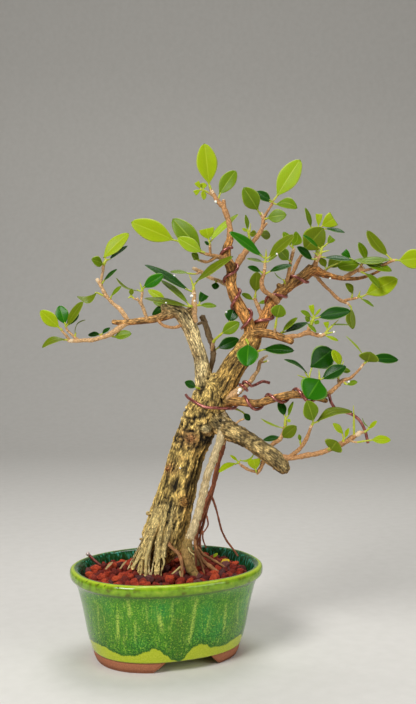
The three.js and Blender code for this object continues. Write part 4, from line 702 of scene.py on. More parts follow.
# Thin red roots that hang from the low branch, behind the prop root, and fan out over the grit.
redRoots = [
    [[222, 432, 2, 4], [223.5, 444, 6, 2.6], [219, 460, 8, 2.4], [215.5, 478, 10, 2.1], [212, 494, 12, 1.8],
     [204, 513, 13, 1.7], [200, 525, 14, 1.6], [197, 540, 16, 1.6], [198, 554, 18, 1.8], [203, 566, 18, 1.8],
     [208, 580, 16, 1.4]],
    [[220, 440, 4, 2.4], [220, 452, 6, 2.2], [216, 470, 8, 2], [212, 488, 9, 2.1], [205, 505, 10, 2],
     [200, 518, 11, 1.8], [197, 532, 12, 1.6], [195, 545, 14, 1.5], [196, 558, 14, 1.4],
     [197, 572, 12, 1.2]],
    [[221, 450, 9, 1.6], [218, 468, 12, 1.8], [214, 484, 14, 2.2], [210, 497, 15, 2.2], [207, 510, 16, 1.6],
     [203, 524, 17, 1.5], [200, 538, 18, 1.4], [201, 553, 20, 1.4], [205, 568, 20, 1.2]],
]
tanRoots = [
    [[165, 538, 0, 2.6], [171, 547.5, -12, 2], [178.5, 553.5, -19, 2], [182, 563, -26, 1.9],
     [182, 578, -31, 1.3]],
    [[195, 540, 12, 2], [197, 552, 9, 2.2], [203, 561, 6, 2.2], [211, 567, 3, 2.3], [219, 573, 0, 2],
     [227, 579.5, -3, 1.6]],
    [[197, 546, 15, 1.7], [204, 555, 13, 1.6], [213, 560, 12, 1.4], [223, 566, 10, 1.2], [230, 573, 8, 1]],
    [[196, 546, 8, 1.5], [198, 556, 4, 1.4], [202, 566, 0, 1.2], [205, 577, -4, 1]],
]
hangingRoots = [
    [[211, 494, 12, 1.6], [216, 509, 14, 1.1], [221, 528, 17, 1.1], [226, 540, 20, 1.1], [233, 549, 22, 1.1],
     [238, 556, 20, 1]],
]
fineRoots = [
    [[203, 531, 10, 1.2], [203, 539, 6, 0.9], [206, 548, 4, 0.8]],
    [[207, 516, 13, 1], [208, 525, 11, 0.9], [204, 532, 11, 0.8]],
    [[210, 476, 10, 1], [207, 487, 8, 0.9], [209.5, 499, 12, 0.8]],
]
creamRoots = [
    [[188, 547, -23, 0.8], [190.5, 552, -25.5, 0.7], [194, 555, -26, 0.6]],
    [[182, 566, -24, 1.3], [177.5, 569.5, -28, 1.1], [172, 574, -30, 0.8]],
    [[179, 569, -24, 1.2], [180.5, 574, -28, 1], [182.5, 581, -30, 0.8]],
    [[151, 540, -8, 1.8], [148.5, 550, -16, 1.6], [146, 560, -21, 1.5], [146.5, 574, -27, 1.2]],
    [[158, 548, -11, 1.4], [158, 556, -16, 1.3], [156.5, 565, -21, 1.1]],
    [[165, 550, -9, 1.2], [162.5, 556, -14, 1.2], [164, 562, -17, 1.1], [162, 570, -20, 0.9]],
    [[143, 551, -8, 1.4], [138, 560, -13, 1.2], [133, 567.5, -16, 1]],
]

# What the bark of each limb leans to.
limbTints = {
    "trunk": "#ad9352", "lowBranch": "#9c8656", "leftLimb": "#d2bd88", "rightLimb": "#a98848",
    "upperLimb": "#b47c42", "apexBranch": "#bd8648", "middleBranch": "#b08048", "wiredBranch": "#b98a4e",
    "leftBranch": "#b48850", "knobMiddle": "#b0402a", "scarFront": "#b87838", "knobFront": "#8c5038",
    "scarUpper": "#c0b080", "knobLeft": "#c8a868", "knobHigh": "#c8b078", "foot": "#ceb46e",
    "ridge": "#dcc684", "paleRidge": "#efe0b8", "yellowRidge": "#dab43a", "other": "#a8864e",
}
ridgeTones = ["ridge", "paleRidge", "foot", "yellowRidge", "ridge"]  # by turns
solidLimbs = ["trunk", "leftLimb", "limbKnob", "leftBranch", "rightLimb", "apexBranch", "upperLimb",
              "upperStrand", "upperStub", "middleBranch", "wiredBranch", "lowBranch", "knobLeft", "knobLow",
              "knobMiddle", "knobHigh", "knobFront", "scarUpper", "scarLow", "scarFront"]
mainWood = {
    "step": 1.5, "trunkSides": 40, "sides": 18, "voxel": 0.8, "rounds": 4, "blend": 2.5,  # mm, and counts
    "depth": 1.7,  # mm of relief on the thickest limb
    "thick": 20, "least": 0.12,  # radius of that limb, and the share of it that the thinnest counts as
    # the lower side of each limb is painted darker, as shade, and redder in tone
    "underside": [0.3, 0.48, 0.6],  # how much red, green and blue the underside of a limb loses
}
barkShape = {  # widths and lengths in mm
    "fibreWidth": 3.6, "fineWidth": 1.9, "stretch": 0.16, "lump": 15, "ring": 3.4, "pit": 2.4, "knob": 7,
    "knobby": [395, 455],  # where the old cuts have healed into knobs, down the photograph
    "fade": 15,
}


def trunkFlutes(share, angle):  # grown-together roots, deepest at the foot
    depth = 0.05 + 0.07 * np.maximum(0, 1 - 2.4 * share)
    turn = angle + 1.4 * share
    return 1 + depth * (0.6 * np.cos(5 * turn + 1) + 0.5 * np.cos(8 * turn + 4) + 0.3 * np.cos(3 * angle))


def makeMainWood():
    heap = newHeap()
    samples = []
    parts = [(name, limbs[name]) for name in solidLimbs] + [("foot", root) for root in rootFingers]
    parts += [(ridgeTones[i % len(ridgeTones)], strand) for i, strand in enumerate(rootRidges())]
    for name, stations in parts:
        line, radii, marks = limbLine(stations, mainWood["step"])
        isTrunk = name == "trunk"
        sides = mainWood["trunkSides" if isTrunk else "sides"]
        addTo(heap, tube(line, radii, marks, sides, trunkFlutes if isTrunk else None), "trunkBark")
        tint = np.tile(linear(limbTints.get(name, limbTints["other"]))[:3], (len(line), 1))
        samples.append(np.column_stack([line, radii, marks, *framesAlong(line), tint]))
    piece = newObject("trunk_wood", np.vstack(heap["points"]), heap["faces"])  # in mm, as seen from the front
    remesh = piece.modifiers.new("remesh", "REMESH")
    remesh.mode = "VOXEL"
    remesh.voxel_size = mainWood["voxel"]
    smooth = piece.modifiers.new("smooth", "SMOOTH")
    smooth.factor = 0.5
    smooth.iterations = mainWood["rounds"]
    bake(piece)
    points, outward = readPoints(piece.data, "co"), readPoints(piece.data, "normal")
    place, radius, tint = nearestLimb(points, np.vstack(samples))
    relief = barkRelief(place, radius, points)
    share = np.clip(radius / mainWood["thick"], mainWood["least"], 1)
    points = points + outward * (mainWood["depth"] * share * relief)[:, None]
    piece.data.vertices.foreach_set("co", toPart(points).ravel())
    setAttribute(piece, "place", "FLOAT_VECTOR", place)
    shown = relief * (0.2 + 0.8 * share) + 0.16 * (1 - share)  # thin limbs have shallow cracks
    setAttribute(piece, "relief", "FLOAT", np.clip(0.5 + 0.5 * shown, 0, 1))
    # painted shade: the lower side of each limb darker, and redder in tone
    under = np.clip(-outward[:, 2] * 1.3, 0, 1)[:, None]  # the underside of each limb is redder and darker
    tint = tint * (1 - under * mainWood["underside"])
    setAttribute(piece, "tint", "FLOAT_COLOR", np.column_stack([tint, np.ones(len(tint))]))
    setFinish(piece, "trunkBark")
    print("main wood:", len(points), "points")
    return dress(piece, ["trunk"])


def nearestLimb(points, samples):  # place on the limb whose bark is nearest, its radius, and a blended tint
    found = []
    columns = np.split(samples, [3, 4, 5, 8, 11, 14], axis=1)
    centres, radii, marks, tangents, normals, sideways, tints = columns
    batch = 4000
    for start in range(0, len(points), batch):
        part = points[start:start + batch]
        squares = (part ** 2).sum(1)[:, None] + (centres ** 2).sum(1) - 2 * part @ centres.T
        depth = np.sqrt(np.maximum(0, squares)) - radii[:, 0]
        near = depth.argmin(1)
        offset = part - centres[near]
        out, across, along = [(offset * way[near]).sum(1) for way in (normals, sideways, tangents)]
        weight = np.exp(-(depth - depth.min(1)[:, None]) / mainWood["blend"])
        found.append(np.column_stack([out, across, marks[near, 0] + along, radii[near, 0],
                                      weight @ tints / weight.sum(1)[:, None]]))
    found = np.vstack(found)
    return found[:, :3], found[:, 3], found[:, 4:]


def barkRelief(place, radius, points):  # about -1 in the cracks to 1 on the ridges
    look = barkShape
    finer = np.interp(radius, [4, 15], [1.7, 1])[:, None]  # thin limbs have finer cracks
    fibre = finer * place * [1, 1, look["stretch"]] + 0.5 * softNoise(place, 6)[:, None] * [1, 1, 0]
    ridgeLines = 1 - 2.4 * np.abs(softNoise(fibre, look["fibreWidth"]))
    fine = 1 - 2.4 * np.abs(softNoise(fibre + 50, look["fineWidth"]))
    lumps = softNoise(place, look["lump"]) + 0.5 * softNoise(place + 9, look["lump"] * 0.4)
    lumps = lumps * np.interp(radius, [6, 16], [0.12, 0.35])
    rings = softNoise(place * [0.25, 0.25, 1], look["ring"])
    pits = np.maximum(0, softNoise(place + 31, look["pit"]) - 0.3)
    high, low = [spot([200, down, 10])[2] for down in look["knobby"]]
    height = points[:, 2]
    old = np.clip((height - low) / look["fade"], 0, 1) * np.clip((high - height) / look["fade"], 0, 1)
    knobs = np.abs(softNoise(points, look["knob"])) - 0.45
    knobs = knobs + 0.6 * np.abs(softNoise(points + 17, look["knob"] * 0.5))
    fibres = 0.55 * ridgeLines + 0.28 * fine
    return fibres * (1 - 0.5 * old) + 1.5 * knobs * old + lumps + 0.15 * rings - 1.1 * pits - 0.05


# Thin wood is drawn as fine tubes, with the rings that old leaves leave. Sizes are in mm.
twigShape = {"step": 1.6, "sides": 12, "ringEvery": 7.5, "ringWidth": 0.7, "ring": 0.16, "wobble": 0.12,
             "wobbleLength": 5, "smallest": 0.55, "drift": 0.25, "driftLength": 9, "fade": 6}


def thinTube(stations, swell=1.0, sides=None, step=None):
    look = twigShape
    line, radii, marks = limbLine(stations, step or look["step"])
    radii = np.maximum(radii * swell, look["smallest"])
    offset = stations[0][0] * 0.37  # no two twigs alike
    still = marks * 0
    phase = (marks + offset) / look["ringEvery"] % 1
    rings = np.exp(-((phase - 0.5) * look["ringEvery"] / look["ringWidth"]) ** 2)
    wobble = softNoise(np.column_stack([marks + offset * 9, still, still]), look["wobbleLength"])
    radii = radii * (1 + look["ring"] * rings + look["wobble"] * wobble)
    drift = [softNoise(np.column_stack([marks, still + offset + 7 * k, still]), look["driftLength"])
             for k in range(3)]
    fade = np.minimum(1, np.minimum(marks, marks[-1] - marks) / look["fade"])[:, None]
    line = line + look["drift"] * np.column_stack(drift) * fade * np.minimum(radii, 2)[:, None]
    return tube(line, radii, marks, sides or look["sides"])


def finishAlong(shape, sides, parts):  # the finish of each face of a tube, by [share of its length, finish]
    count = (len(shape[0]) - 2) // sides
    names = []
    for ring in range(count - 1):
        for side in range(sides):  # with a ragged line between them
            share = ring / (count - 1) + 0.015 * math.sin(side * 1.7) * math.sin(side * 0.9 + 2)
            names.append(next((finish for end, finish in parts if share <= end), parts[-1][1]))
    return names + [parts[0][1], parts[-1][1]] * sides


thinWood = {  # the limbs of each piece, its finish along them, its slot, and its sides
    "prop_root": [[limbs["propRoot"]], [[0.72, "rootBark"], [1, "mossyRootBark"]], "bark", 28],
    "dead_branch": [[limbs["deadBranch"], limbs["deadSpur"]], [[1, "deadWood"]], "bark", 12],
    "loop_twig": [[limbs["loopTwig"]], [[1, "twigBark"]], "bark", 12],
    "low_branch_spurs": [[limbs["lowSpur"], limbs["lowSpurUnder"], limbs["lowSpurTop"]],
                         [[1, "paleTwigBark"]], "pale_wood", 12],
    "red_roots": [redRoots + hangingRoots + fineRoots, [[1, "redRootBark"]], "red_root", 12],
    "tan_roots": [tanRoots, [[1, "tanRootBark"]], "red_root", 12],
    "cream_roots": [creamRoots, [[1, "creamRootBark"]], "bark", 12],
}


def makeThinWood():
    for name, (lines, finish, slot, sides) in thinWood.items():
        heap = newHeap()
        for stations in lines:
            limb = thinTube(stations, sides=sides, step=1.2)
            addTo(heap, limb, finishAlong(limb, sides, finish))
        makePiece(name, heap, ["trunk"])


woodPiece = makeMainWood()
makeThinWood()
print("thin wood is in")

# The leafy sprays. Twigs are limbs cut off short. A stem is a green shoot: its stations, those of its
# forks, and what grows on it. A leaf is its tone, its base across and down, its tip across and down, its
# lean back and width in mm, its roll in degrees from facing the viewer to facing the sky, and how far its
# midrib bends sideways. A cut leaf has the word cut before that. A bud is its seat, its tip and its lean
# back.
sprays = {}
sprays["left_fork"] = {"twigs": [
    [[128, 322, -10, 2.8], [121, 327, -13, 2.8], [113, 332.5, -16, 2.5], [100, 338, -20, 2.2],
     [90, 340, -23, 2], [80, 340.5, -25, 1.9], [68.5, 341, -28, 1.8]],
    [[78, 340, -25, 1.5], [71, 334, -27, 1.2], [67, 330, -29, 1.1]],
    [[70, 340.5, -27, 1.5], [65, 334.5, -31, 1.2], [62, 331, -32, 1.1]],
], "stems": [
    [[[67.5, 331, -29, 1.1], [66, 327, -30, 1], [65.5, 324, -31, 0.9]],
     ["bright", 65, 324, 59.5, 305.5, 6, 14, 5], ["olive", 67, 326, 83, 301.5, -6, 15.5, 48],
     ["deep", 67, 326, 78.5, 313, 12, 10, 25]],
    [[[63, 332, -32, 1.1], [60.5, 328.5, -33, 1]], ["lime", 59, 327.5, 40.2, 310.5, -6, 14, 8]],
    [[[69, 341, -28, 1], [66, 339.6, -30, 0.8]], ["olive", 65, 339.4, 42, 347.5, -8, 13, 56, -3]],
    [[[76, 341, -25, 0.9], [75, 335, -27, 0.8]], ["olive", 75, 334, 85.5, 319.8, -4, 9, 80, 4]],
    [[[101, 339, -19, 1], [101, 334.5, -13, 0.9]], ["deep", 100, 334.6, 88, 334.6, 6, 8, 45],
     ["deep", 102, 334, 110, 327.5, 4, 6, 40]],
    [[[113, 332, -15, 0.9], [113, 336.5, -13, 0.8]], ["green", 114, 337, 131.5, 333.5, -6, 11, 30]],
]}
sprays["left_riser"] = {"twigs": [
    [[129, 322, -10, 2.4], [120, 310, -7, 2.1], [109, 299, -3, 1.8], [102, 288, 1, 1.8], [97, 279, 4, 1.9]],
    [[101, 286, 1, 1.4], [101.5, 279, 2, 1.3], [103, 270, 4, 1.1]],
], "stems": [
    [[[103, 272, 4, 1.1], [103.5, 266, 5, 1.3], [105, 262, 5, 1.2], [107, 259.5, 5, 1]],
     ["lime", 103.5, 258, 128.7, 233, 4, 18, 28], ["green", 103, 264, 91.5, 259.5, -18, 12, 25],
     ["deep", 109, 260, 127.7, 245.3, 12, 12.5, 60]],
    [[[101.5, 285, 1.5, 0.9], [103, 282, -1, 0.8]], ["deep", 103.5, 281, 117, 269, -5, 9, 58]],
    [[[107, 298, -2, 0.9], [103, 295.6, -5, 0.8], [98, 293, -7, 0.8]],
     ["olive", 97, 292.4, 77, 296.5, -4, 13, 52, 7]],
    [[[110, 301, -3, 0.9], [111, 297, -6, 0.8]], ["green", 111.2, 296, 121.5, 286, -3, 8, 52]],
]}
sprays["short_riser"] = {"twigs": [
    [[148, 321, -6, 2], [144, 311, -10, 1.6], [141, 303, -13, 1.4], [142, 296, -15, 1.2],
     [142.3, 292, -16, 1]],
    [[141.5, 305, -13, 1.3], [137, 298, -17, 1.1]],
], "stems": [
    [[[142.3, 294, -16, 1], [142.5, 290, -17, 0.9], [143, 288.5, -17, 0.8]],
     ["bright", 143.5, 287.5, 163.5, 274.5, -7, 12.5, 5], ["olive", 139, 291, 116, 277.5, 5, 12, 80, 5],
     ["bud", 141.5, 291, 139.8, 282.5, 0]],
    [[[138, 300, -17, 1], [134, 298.5, -19, 0.9], [130.5, 295.5, -20, 0.8]],
     ["olive", 131, 295.5, 132, 288.5, -2, 5.5, 10], ["bud", 131.5, 296.5, 128, 298.2, -2]],
]}
sprays["knob_back"] = {"stems": [
    [[[173, 309, 6, 1.3], [169, 304, 17, 1]], ["lime", 166, 302, 148, 289.5, 8, 11, 35],
     ["green", 167, 304, 153, 301, 4, 10, 20], ["deep", 168, 305, 152, 315, 5, 10, 30]],
]}
sprays["pale_stub"] = {"twigs": [
    [[196, 322, 0, 2.2], [194.5, 311, -3, 2.6], [194, 302, -5, 2.4], [194, 292.5, -6, 2.2]],
], "stems": [
    [[[194, 294, -6, 1.8], [193.8, 289, -6, 1.5], [193.5, 286, -6, 1.1]],
     ["olive", 195.5, 282, 233, 256, -12, 21, 64], ["deep", 189, 291, 145, 264.5, -8, 21, 66],
     ["bud", 193, 287, 189.3, 275, 2]],
    [[[194, 307, -5, 1.4], [190.5, 306, -10, 1.1]], ["green", 188.5, 304, 161, 279.5, 8, 18, 68],
     ["olive", 188, 306.5, 144, 298, -4, 18, 70]],
    [[[195, 306, -4, 1.2], [199, 305, -7, 0.9]], ["green", 200, 305.5, 216.5, 306, 3, 9.5, 50],
     ["cut", "deep", 199.5, 302.5, 204.5, 294, 5, 11]],
]}
sprays["high_twig"] = {"twigs": [
    [[229, 285, -2, 2.6], [220, 281.5, 6, 2], [209, 277, 12, 1.7], [201, 272, 15, 2], [193, 268, 17, 1.8]],
], "stems": [
    [[[201, 272, 15, 0.9], [195, 274, 10, 0.8], [189, 273.4, 8, 0.8]],
     ["green", 188, 273, 170, 271.5, 4, 8, 55]],
    [[[216, 279, 9, 0.9], [216, 282, 6, 0.8]], ["deep", 216, 282.5, 215, 289.5, -4, 8.5, 5]],
]}
sprays["crown_twig"] = {"twigs": [
    [[227, 258, 0, 2.4], [216, 256.5, -6, 1.9], [205, 253.5, -11, 1.7], [196, 250, -14, 1.5],
     [187, 245.5, -17, 1.2]],
    [[216, 257, -6, 1.7], [207, 262, -3, 1.5], [200, 260.5, -2, 1.2]],
    [[211, 255.5, -9, 1.4], [210, 249, -10, 1.4], [210, 244.5, -11, 1.1]],
], "stems": [
    [[[188, 246, -17, 1.2], [182, 243, -18, 1.1], [177, 240.5, -19, 1]],
     ["lime", 173.5, 240, 131, 222, -5, 22.6, 5]],
    [[[206, 254, -11, 1.1], [203.5, 252, -13, 1]], ["green", 200.5, 250, 172.5, 218.5, 8, 21, 5],
     ["pale", 201.5, 252, 177.5, 238, -9, 14.7, 10]],
    [[[202, 261.5, -2, 1], [198, 259.6, -1, 0.8]], ["green", 199, 259, 191.5, 253.5, -5, 8, 20],
     ["green", 197, 259.5, 193, 258.5, 3, 3, 0]],
    [[[210, 247, -11, 1.1], [210, 243.5, -12, 1], [209.3, 241, -12, 0.9]],
     ["pale", 211, 241, 237.5, 213.5, 54, 19, 60], ["deep", 209, 245, 204.5, 241.5, -5, 4, 20],
     ["cut", "lime", 208.6, 239, 206.3, 228.5, -3, 17]],
]}
sprays["apex_tip"] = {"twigs": [
    [[230, 237, 3, 2.9], [230, 231, 4, 3], [228, 220, 5, 2.8], [224, 209, 6, 2.7], [217, 200, 7, 2.3],
     [211.5, 191, 8, 1.8]],
    [[225.5, 210, 6, 1.6], [223.5, 200, 7, 1.6]],
], "stems": [
    [[[211.7, 193, 8, 1.5], [210.2, 188, 8, 1.3], [209.4, 185.5, 8, 1.1]],
     ["lime", 209, 184, 204.5, 143.2, -3, 22.8, 5]],
    [[[213.5, 196, 7, 1], [206, 191.6, 2, 0.9], [201, 189.4, 0, 0.8]],
     ["lime", 203, 190.5, 203.8, 199.8, -3, 7, 30], ["lime", 203.5, 189, 203, 182.5, 4, 8, 10],
     ["cut", "lime", 200.5, 188.5, 196.5, 182, -1, 6], ["cut", "lime", 200, 190, 194.5, 193.5, -2, 6]],
    [[[217.5, 202, 7, 1], [219, 197, 8, 0.9]], ["green", 219.3, 194.5, 235.8, 170.3, 5, 17, 8]],
]}
sprays["back_twig"] = {"twigs": [
    [[232, 273, 0, 4], [243, 255, 8, 3.2], [256, 238, 16, 2.2], [262, 228, 19, 2], [263, 218, 21, 1.7],
     [261, 212.5, 21, 1.3]],
    [[263, 219, 21, 1.5], [269, 209, 22, 1.3], [273, 202, 24, 1.2]],
    [[261.5, 230, 19, 1.3], [267, 223, 16, 1.1]],
], "stems": [
    [[[272.3, 204, 24, 1.2], [273.5, 200.5, 24, 1], [275.5, 198, 24, 0.9]],
     ["pale", 277, 196, 300.3, 159.5, -4, 23, 8], ["green", 276, 204.5, 297.5, 208, -8, 15, 30, 3],
     ["deep", 270.5, 202.5, 256.5, 191, 10, 12, 20], ["bud", 272, 203, 269.5, 199.5, -4]],
    [[[262.5, 218, 21, 1], [260, 213.5, 19, 0.9], [258.5, 211.5, 18, 0.9]],
     ["green", 257.8, 210, 243.5, 187.5, -18, 19.5, 5]],
    [[[263.5, 220, 21, 1], [267, 218.4, 18, 0.9]], ["green", 267.5, 218, 286.5, 214.8, -9, 15.5, 15]],
    [[[251.5, 246, 12, 1.3], [249.5, 239, 7, 1.1], [248, 231, 5, 1]],
     ["green", 247.5, 230, 245.5, 214.5, -2, 7, 45], ["lime", 247.5, 231.5, 242, 228.5, -3, 4, 20],
     ["bud", 249.5, 236, 250.5, 223.5, 1]],
    [[[258, 235, 18, 1], [258.6, 234, 26, 0.9]], ["olive", 260, 234.5, 270.5, 235.5, 7, 11, 10],
     ["olive", 257, 234, 250, 233.5, 8, 8, 10]],
]}
sprays["front_twig"] = {"twigs": [
    [[278, 302, 4, 2.6], [272, 296, -4, 2.4], [264, 290, -10, 2.4], [261.5, 282, -13, 2.3],
     [264, 273, -15, 1.8], [265, 266, -16, 1.4]],
], "stems": [
    [[[265, 268, -16, 1.4], [265, 262, -17, 1.2], [266, 258.5, -17, 0.9]],
     ["bright", 262, 256.5, 229.3, 231.8, -14, 20, 54], ["olive", 268.5, 258, 294.5, 234.5, -8, 18, 50],
     ["green", 263, 262, 246.5, 258.5, 4, 9, 65], ["pale", 268, 262, 278, 253.8, 6, 6, 55],
     ["bud", 266.5, 257, 266, 249.5, -2]],
    [[[264.5, 274, -15, 0.9], [261.5, 272, -17, 0.8]], ["deep", 261, 271.5, 247.5, 267, -5, 9, 45]],
    [[[264, 275, -14, 0.9], [267, 272.8, -17, 0.8]], ["deep", 268.5, 271.8, 292, 264.8, -3, 12, 58]],
]}
sprays["middle_twig"] = {"twigs": [
    [[263, 318, 4, 2.6], [258, 307, 14, 2.2], [254.5, 297, 19, 1.4]],
], "stems": [
    [[[257.8, 306.5, 14, 1.9], [255, 299, 18, 1.5], [255.4, 294, 18, 1]],
     ["olive", 255.7, 292, 257.2, 271.5, -6, 15, 8], ["green", 253, 299.5, 241.5, 293.8, -4, 8, 40],
     ["green", 258.5, 303.5, 268.5, 301, 3, 5, 30]],
]}
sprays["rising_left"] = {"twigs": [
    [[284, 290, 11, 2.2], [289, 272, 6, 1.8], [291, 261, 3, 1.6], [294, 248.5, 0, 1.5]],
], "stems": [
    [[[294, 250, 0, 1.4], [292.6, 247, -1, 1]], ["green", 292, 246, 296.5, 231.5, -7, 13, 30, -4],
     ["green", 290.5, 246.5, 283.5, 231.5, 4, 11, 30]],
    [[[291.3, 262.5, 3, 1], [289.3, 260.5, -1, 0.8]], ["green", 288.5, 260, 278.3, 248.8, -8, 13, 10]],
    [[[285.5, 286, 10, 1], [284.2, 281, 5, 0.8]], ["green", 283.8, 280, 274.5, 272.3, 2, 8, 78, 2]],
]}
sprays["rising_right"] = {"twigs": [
    [[289, 284, 12, 2.6], [292, 275, 18, 2.1], [297, 264, 24, 1.8], [302, 254, 28, 1.5]],
], "stems": [
    [[[301.5, 256, 28, 1.4], [303.8, 251, 29, 1.2]], ["olive", 304.5, 250, 323.5, 228, -12, 26, 5]],
]}
sprays["head_twig"] = {"twigs": [
    [[313, 269, 21, 3.4], [315, 263, 17, 2.4], [317, 259, 13, 2]],
], "stems": [
    [[[316.5, 261, 13, 1.9], [319, 256, 10, 1.6], [321, 251, 9, 1.3], [322.5, 247, 9, 1]],
     ["deep", 312.5, 260, 297, 246.8, -12, 12, 38], ["bright", 319, 248, 303, 235, -14, 11, 62],
     ["deep", 323.5, 257.5, 352, 260, -6, 14, 62], ["cut", "green", 327.5, 243.5, 332.5, 237.5, 2, 9],
     ["bud", 321.5, 253, 329.5, 250.5, -4], ["bud", 318.5, 256, 313.5, 252.5, -6]],
]}
sprays["head_twig_back"] = {"stems": [
    [[[314, 269, 24, 2], [317, 255, 38, 1.8], [318, 240, 42, 1.5], [317.5, 229, 42, 1.2]],
     ["green", 311, 228, 305.3, 207.5, -4, 11, 52], ["deep", 325, 228.5, 345, 232.5, -5, 11, 58],
     ["cut", "lime", 318.5, 226, 319, 213.8, 2, 8], ["cut", "lime", 322, 226, 334, 218.5, 2, 18]],
]}
sprays["head_twig_right"] = {"stems": [
    [[[322, 273, 24, 1.4], [327, 268.5, 34, 1.1]], ["olive", 328, 267.5, 341, 258, 6, 14, 20],
     ["olive", 325.5, 267.5, 320, 257.5, 6, 9, 20], ["bud", 329, 270, 338.3, 263, -3]],
]}
sprays["outer_twig"] = {"twigs": [
    [[342, 279, 28, 2.1], [353, 272.5, 27, 2], [361, 268.5, 26, 1.8], [364, 268, 26, 1.6]],
    [[358, 271, 26, 1.6], [368, 269.5, 22, 1.4], [380, 266, 18, 1.4], [388, 263, 15, 1.4],
     [394, 260, 13, 1.4]],
    [[359.5, 270, 26, 1.3], [362, 263.5, 24, 1.1]],
], "stems": [
    [[[361.6, 265.5, 24, 1.1], [362.5, 261.5, 23, 0.9]], ["green", 366, 260.5, 358.8, 242, 5, 12, 34],
     ["green", 359.5, 264, 337.5, 267, -4, 16, 20], ["green", 364.5, 263, 392, 271, -12, 16, 46]],
    [[[393, 260.5, 13, 1.2], [397, 260, 12, 0.9]], ["lime", 399, 260.5, 426.4, 258, -4, 21.5, 5],
     ["green", 391, 259.5, 354, 260, 8, 17, 58, 2], ["olive", 388, 256.5, 367.3, 230, 12, 18, 38, 3]],
    [[[357.5, 270.5, 26.5, 0.9], [363.5, 272.8, 22, 0.8]], ["green", 365, 273, 379.8, 288.5, -4, 13, 50, 1]],
    [[[352, 273.5, 27.5, 0.9], [352, 266, 33, 0.8], [351.5, 260, 34, 0.8]],
     ["cut", "bright", 350.5, 258.5, 343.5, 251.5, 1, 9]],
]}
sprays["hang_twig"] = {"twigs": [
    [[312, 272, 23, 3], [318, 278, 32, 1.8], [327, 288, 37, 1.6], [338, 298.5, 40, 1.7],
     [343, 301.5, 41, 1.7], [349, 304, 41, 1.4]],
    [[342, 301, 41, 1.4], [351, 299, 39, 1.3], [357, 298, 38, 1.1]],
], "stems": [
    [[[356, 298.2, 38, 1.1], [361.5, 296.6, 37, 0.9]], ["lime", 366, 294.5, 397.8, 278.8, -6, 21, 8],
     ["green", 361.5, 299, 374, 306.5, 3, 8, 58], ["bud", 357.5, 296, 360.3, 290.8, -2]],
    [[[351, 300, 39, 0.9], [352, 296, 36, 0.8]], ["olive", 352.7, 294, 345.5, 283.3, -2, 10, 35, -1]],
    [[[348, 303.7, 41, 1.1], [351, 307, 40, 0.9]], ["olive", 351.5, 308.5, 353, 329.3, -5, 14, 30, -3]],
]}
sprays["middle_branch_tip"] = {"twigs": [
    [[284, 338, -18, 2.8], [293, 336.5, -22, 2.2], [300, 335, -25, 2.1], [308, 332.5, -28, 2.6],
     [315, 335, -31, 2], [322, 335.8, -34, 1.8]],
    [[308.5, 333, -28, 2.2], [309, 327, -29, 1.8]],
], "stems": [
    [[[309, 329, -29, 1.7], [311.5, 323, -30, 1.5], [313.5, 318.5, -31, 1.2]],
     ["green", 307.5, 323.5, 316.3, 332.5, -8, 5, 30], ["green", 311.5, 317, 300.5, 310.8, -4, 7, 40],
     ["deep", 318, 317.5, 350.5, 310.8, -7, 17, 38], ["lime", 314.5, 316, 321, 308.5, 4, 3, 0],
     ["green", 310, 321, 305, 317, -6, 7, 20], ["green", 314.5, 321.5, 319, 323.5, -6, 6, 20],
     ["cut", "lime", 313.5, 315.5, 311, 305, -1, 6]],
    [[[320.5, 335.8, -34, 1.8], [325, 334, -35, 1.5], [327.5, 330.5, -36, 1.2]],
     ["lime", 326, 336, 338.3, 341, -6, 7, 55], ["green", 331, 325, 350.5, 325, 3, 8, 78],
     ["cut", "lime", 327.3, 328.5, 326, 321.8, -1, 6], ["bud", 329.5, 329, 338.5, 319.8, 2],
     ["bud", 326, 334.5, 335.5, 331.8, -5]],
]}
sprays["middle_branch_pair"] = {"stems": [
    [[[280.5, 337, -17, 1.1], [281.5, 332.5, -10, 0.9]], ["green", 282.5, 331.5, 297.5, 317.5, -6, 11, 62],
     ["deep", 284.5, 332.5, 307.5, 322.5, 4, 12, 55]],
]}
sprays["middle_branch_round"] = {"stems": [
    [[[274.5, 336, -14, 1.3], [275.3, 327, -19, 1], [276.5, 319.5, -21, 0.9]],
     ["green", 276.8, 318, 280.2, 304.5, -10, 16.5, 5]],
]}
sprays["crotch_stem"] = {"stems": [
    [[[212, 350, 21, 1.6], [214, 341, 9, 1.3], [221, 334.3, 1, 1]],
     ["green", 222, 333.5, 239.5, 322.3, -5, 13.6, 8], ["deep", 229.5, 322, 233.5, 309, 4, 15, 10]],
]}
sprays["crotch_behind"] = {"stems": [
    [[[212.5, 353, 22, 1.1], [216, 349, 30, 0.9]], ["deep", 217.5, 348, 239, 339, 3, 14, 15]],
]}
sprays["neck_leaf"] = {"stems": [
    [[[202, 389.5, 4, 1.2], [197, 387.6, -3, 0.9]], ["deep", 196, 387.2, 184.7, 382, -4, 9.5, 25]],
]}
sprays["limb_front_leaf"] = {"stems": [
    [[[247, 342, -4, 1.2], [246.3, 340, -13, 1], [248.3, 343.3, -17, 0.9]],
     ["bright", 248.5, 344.5, 246.8, 366.3, -18, 23.5, 5]],
]}
sprays["limb_side_leaf"] = {"stems": [
    [[[256, 352, -2, 1.3], [262, 350, -13, 0.9]], ["deep", 263, 349.6, 294.3, 350.4, -4, 16, 48]],
]}
sprays["pale_twig"] = {"twigs": [
    [[226, 399, 2, 5], [240, 390, -1, 3.4], [249, 383, 3, 2.6], [254, 376.5, 8, 2.2], [257.5, 371, 11, 2],
     [260, 362, 14, 1.9], [263, 358.5, 16, 1.5], [267.5, 355.5, 18, 1]],
], "stems": [
    [[[260.5, 362.5, 14, 1], [264, 362, 10, 0.9], [268.5, 360.4, 8, 0.9]]],
]}
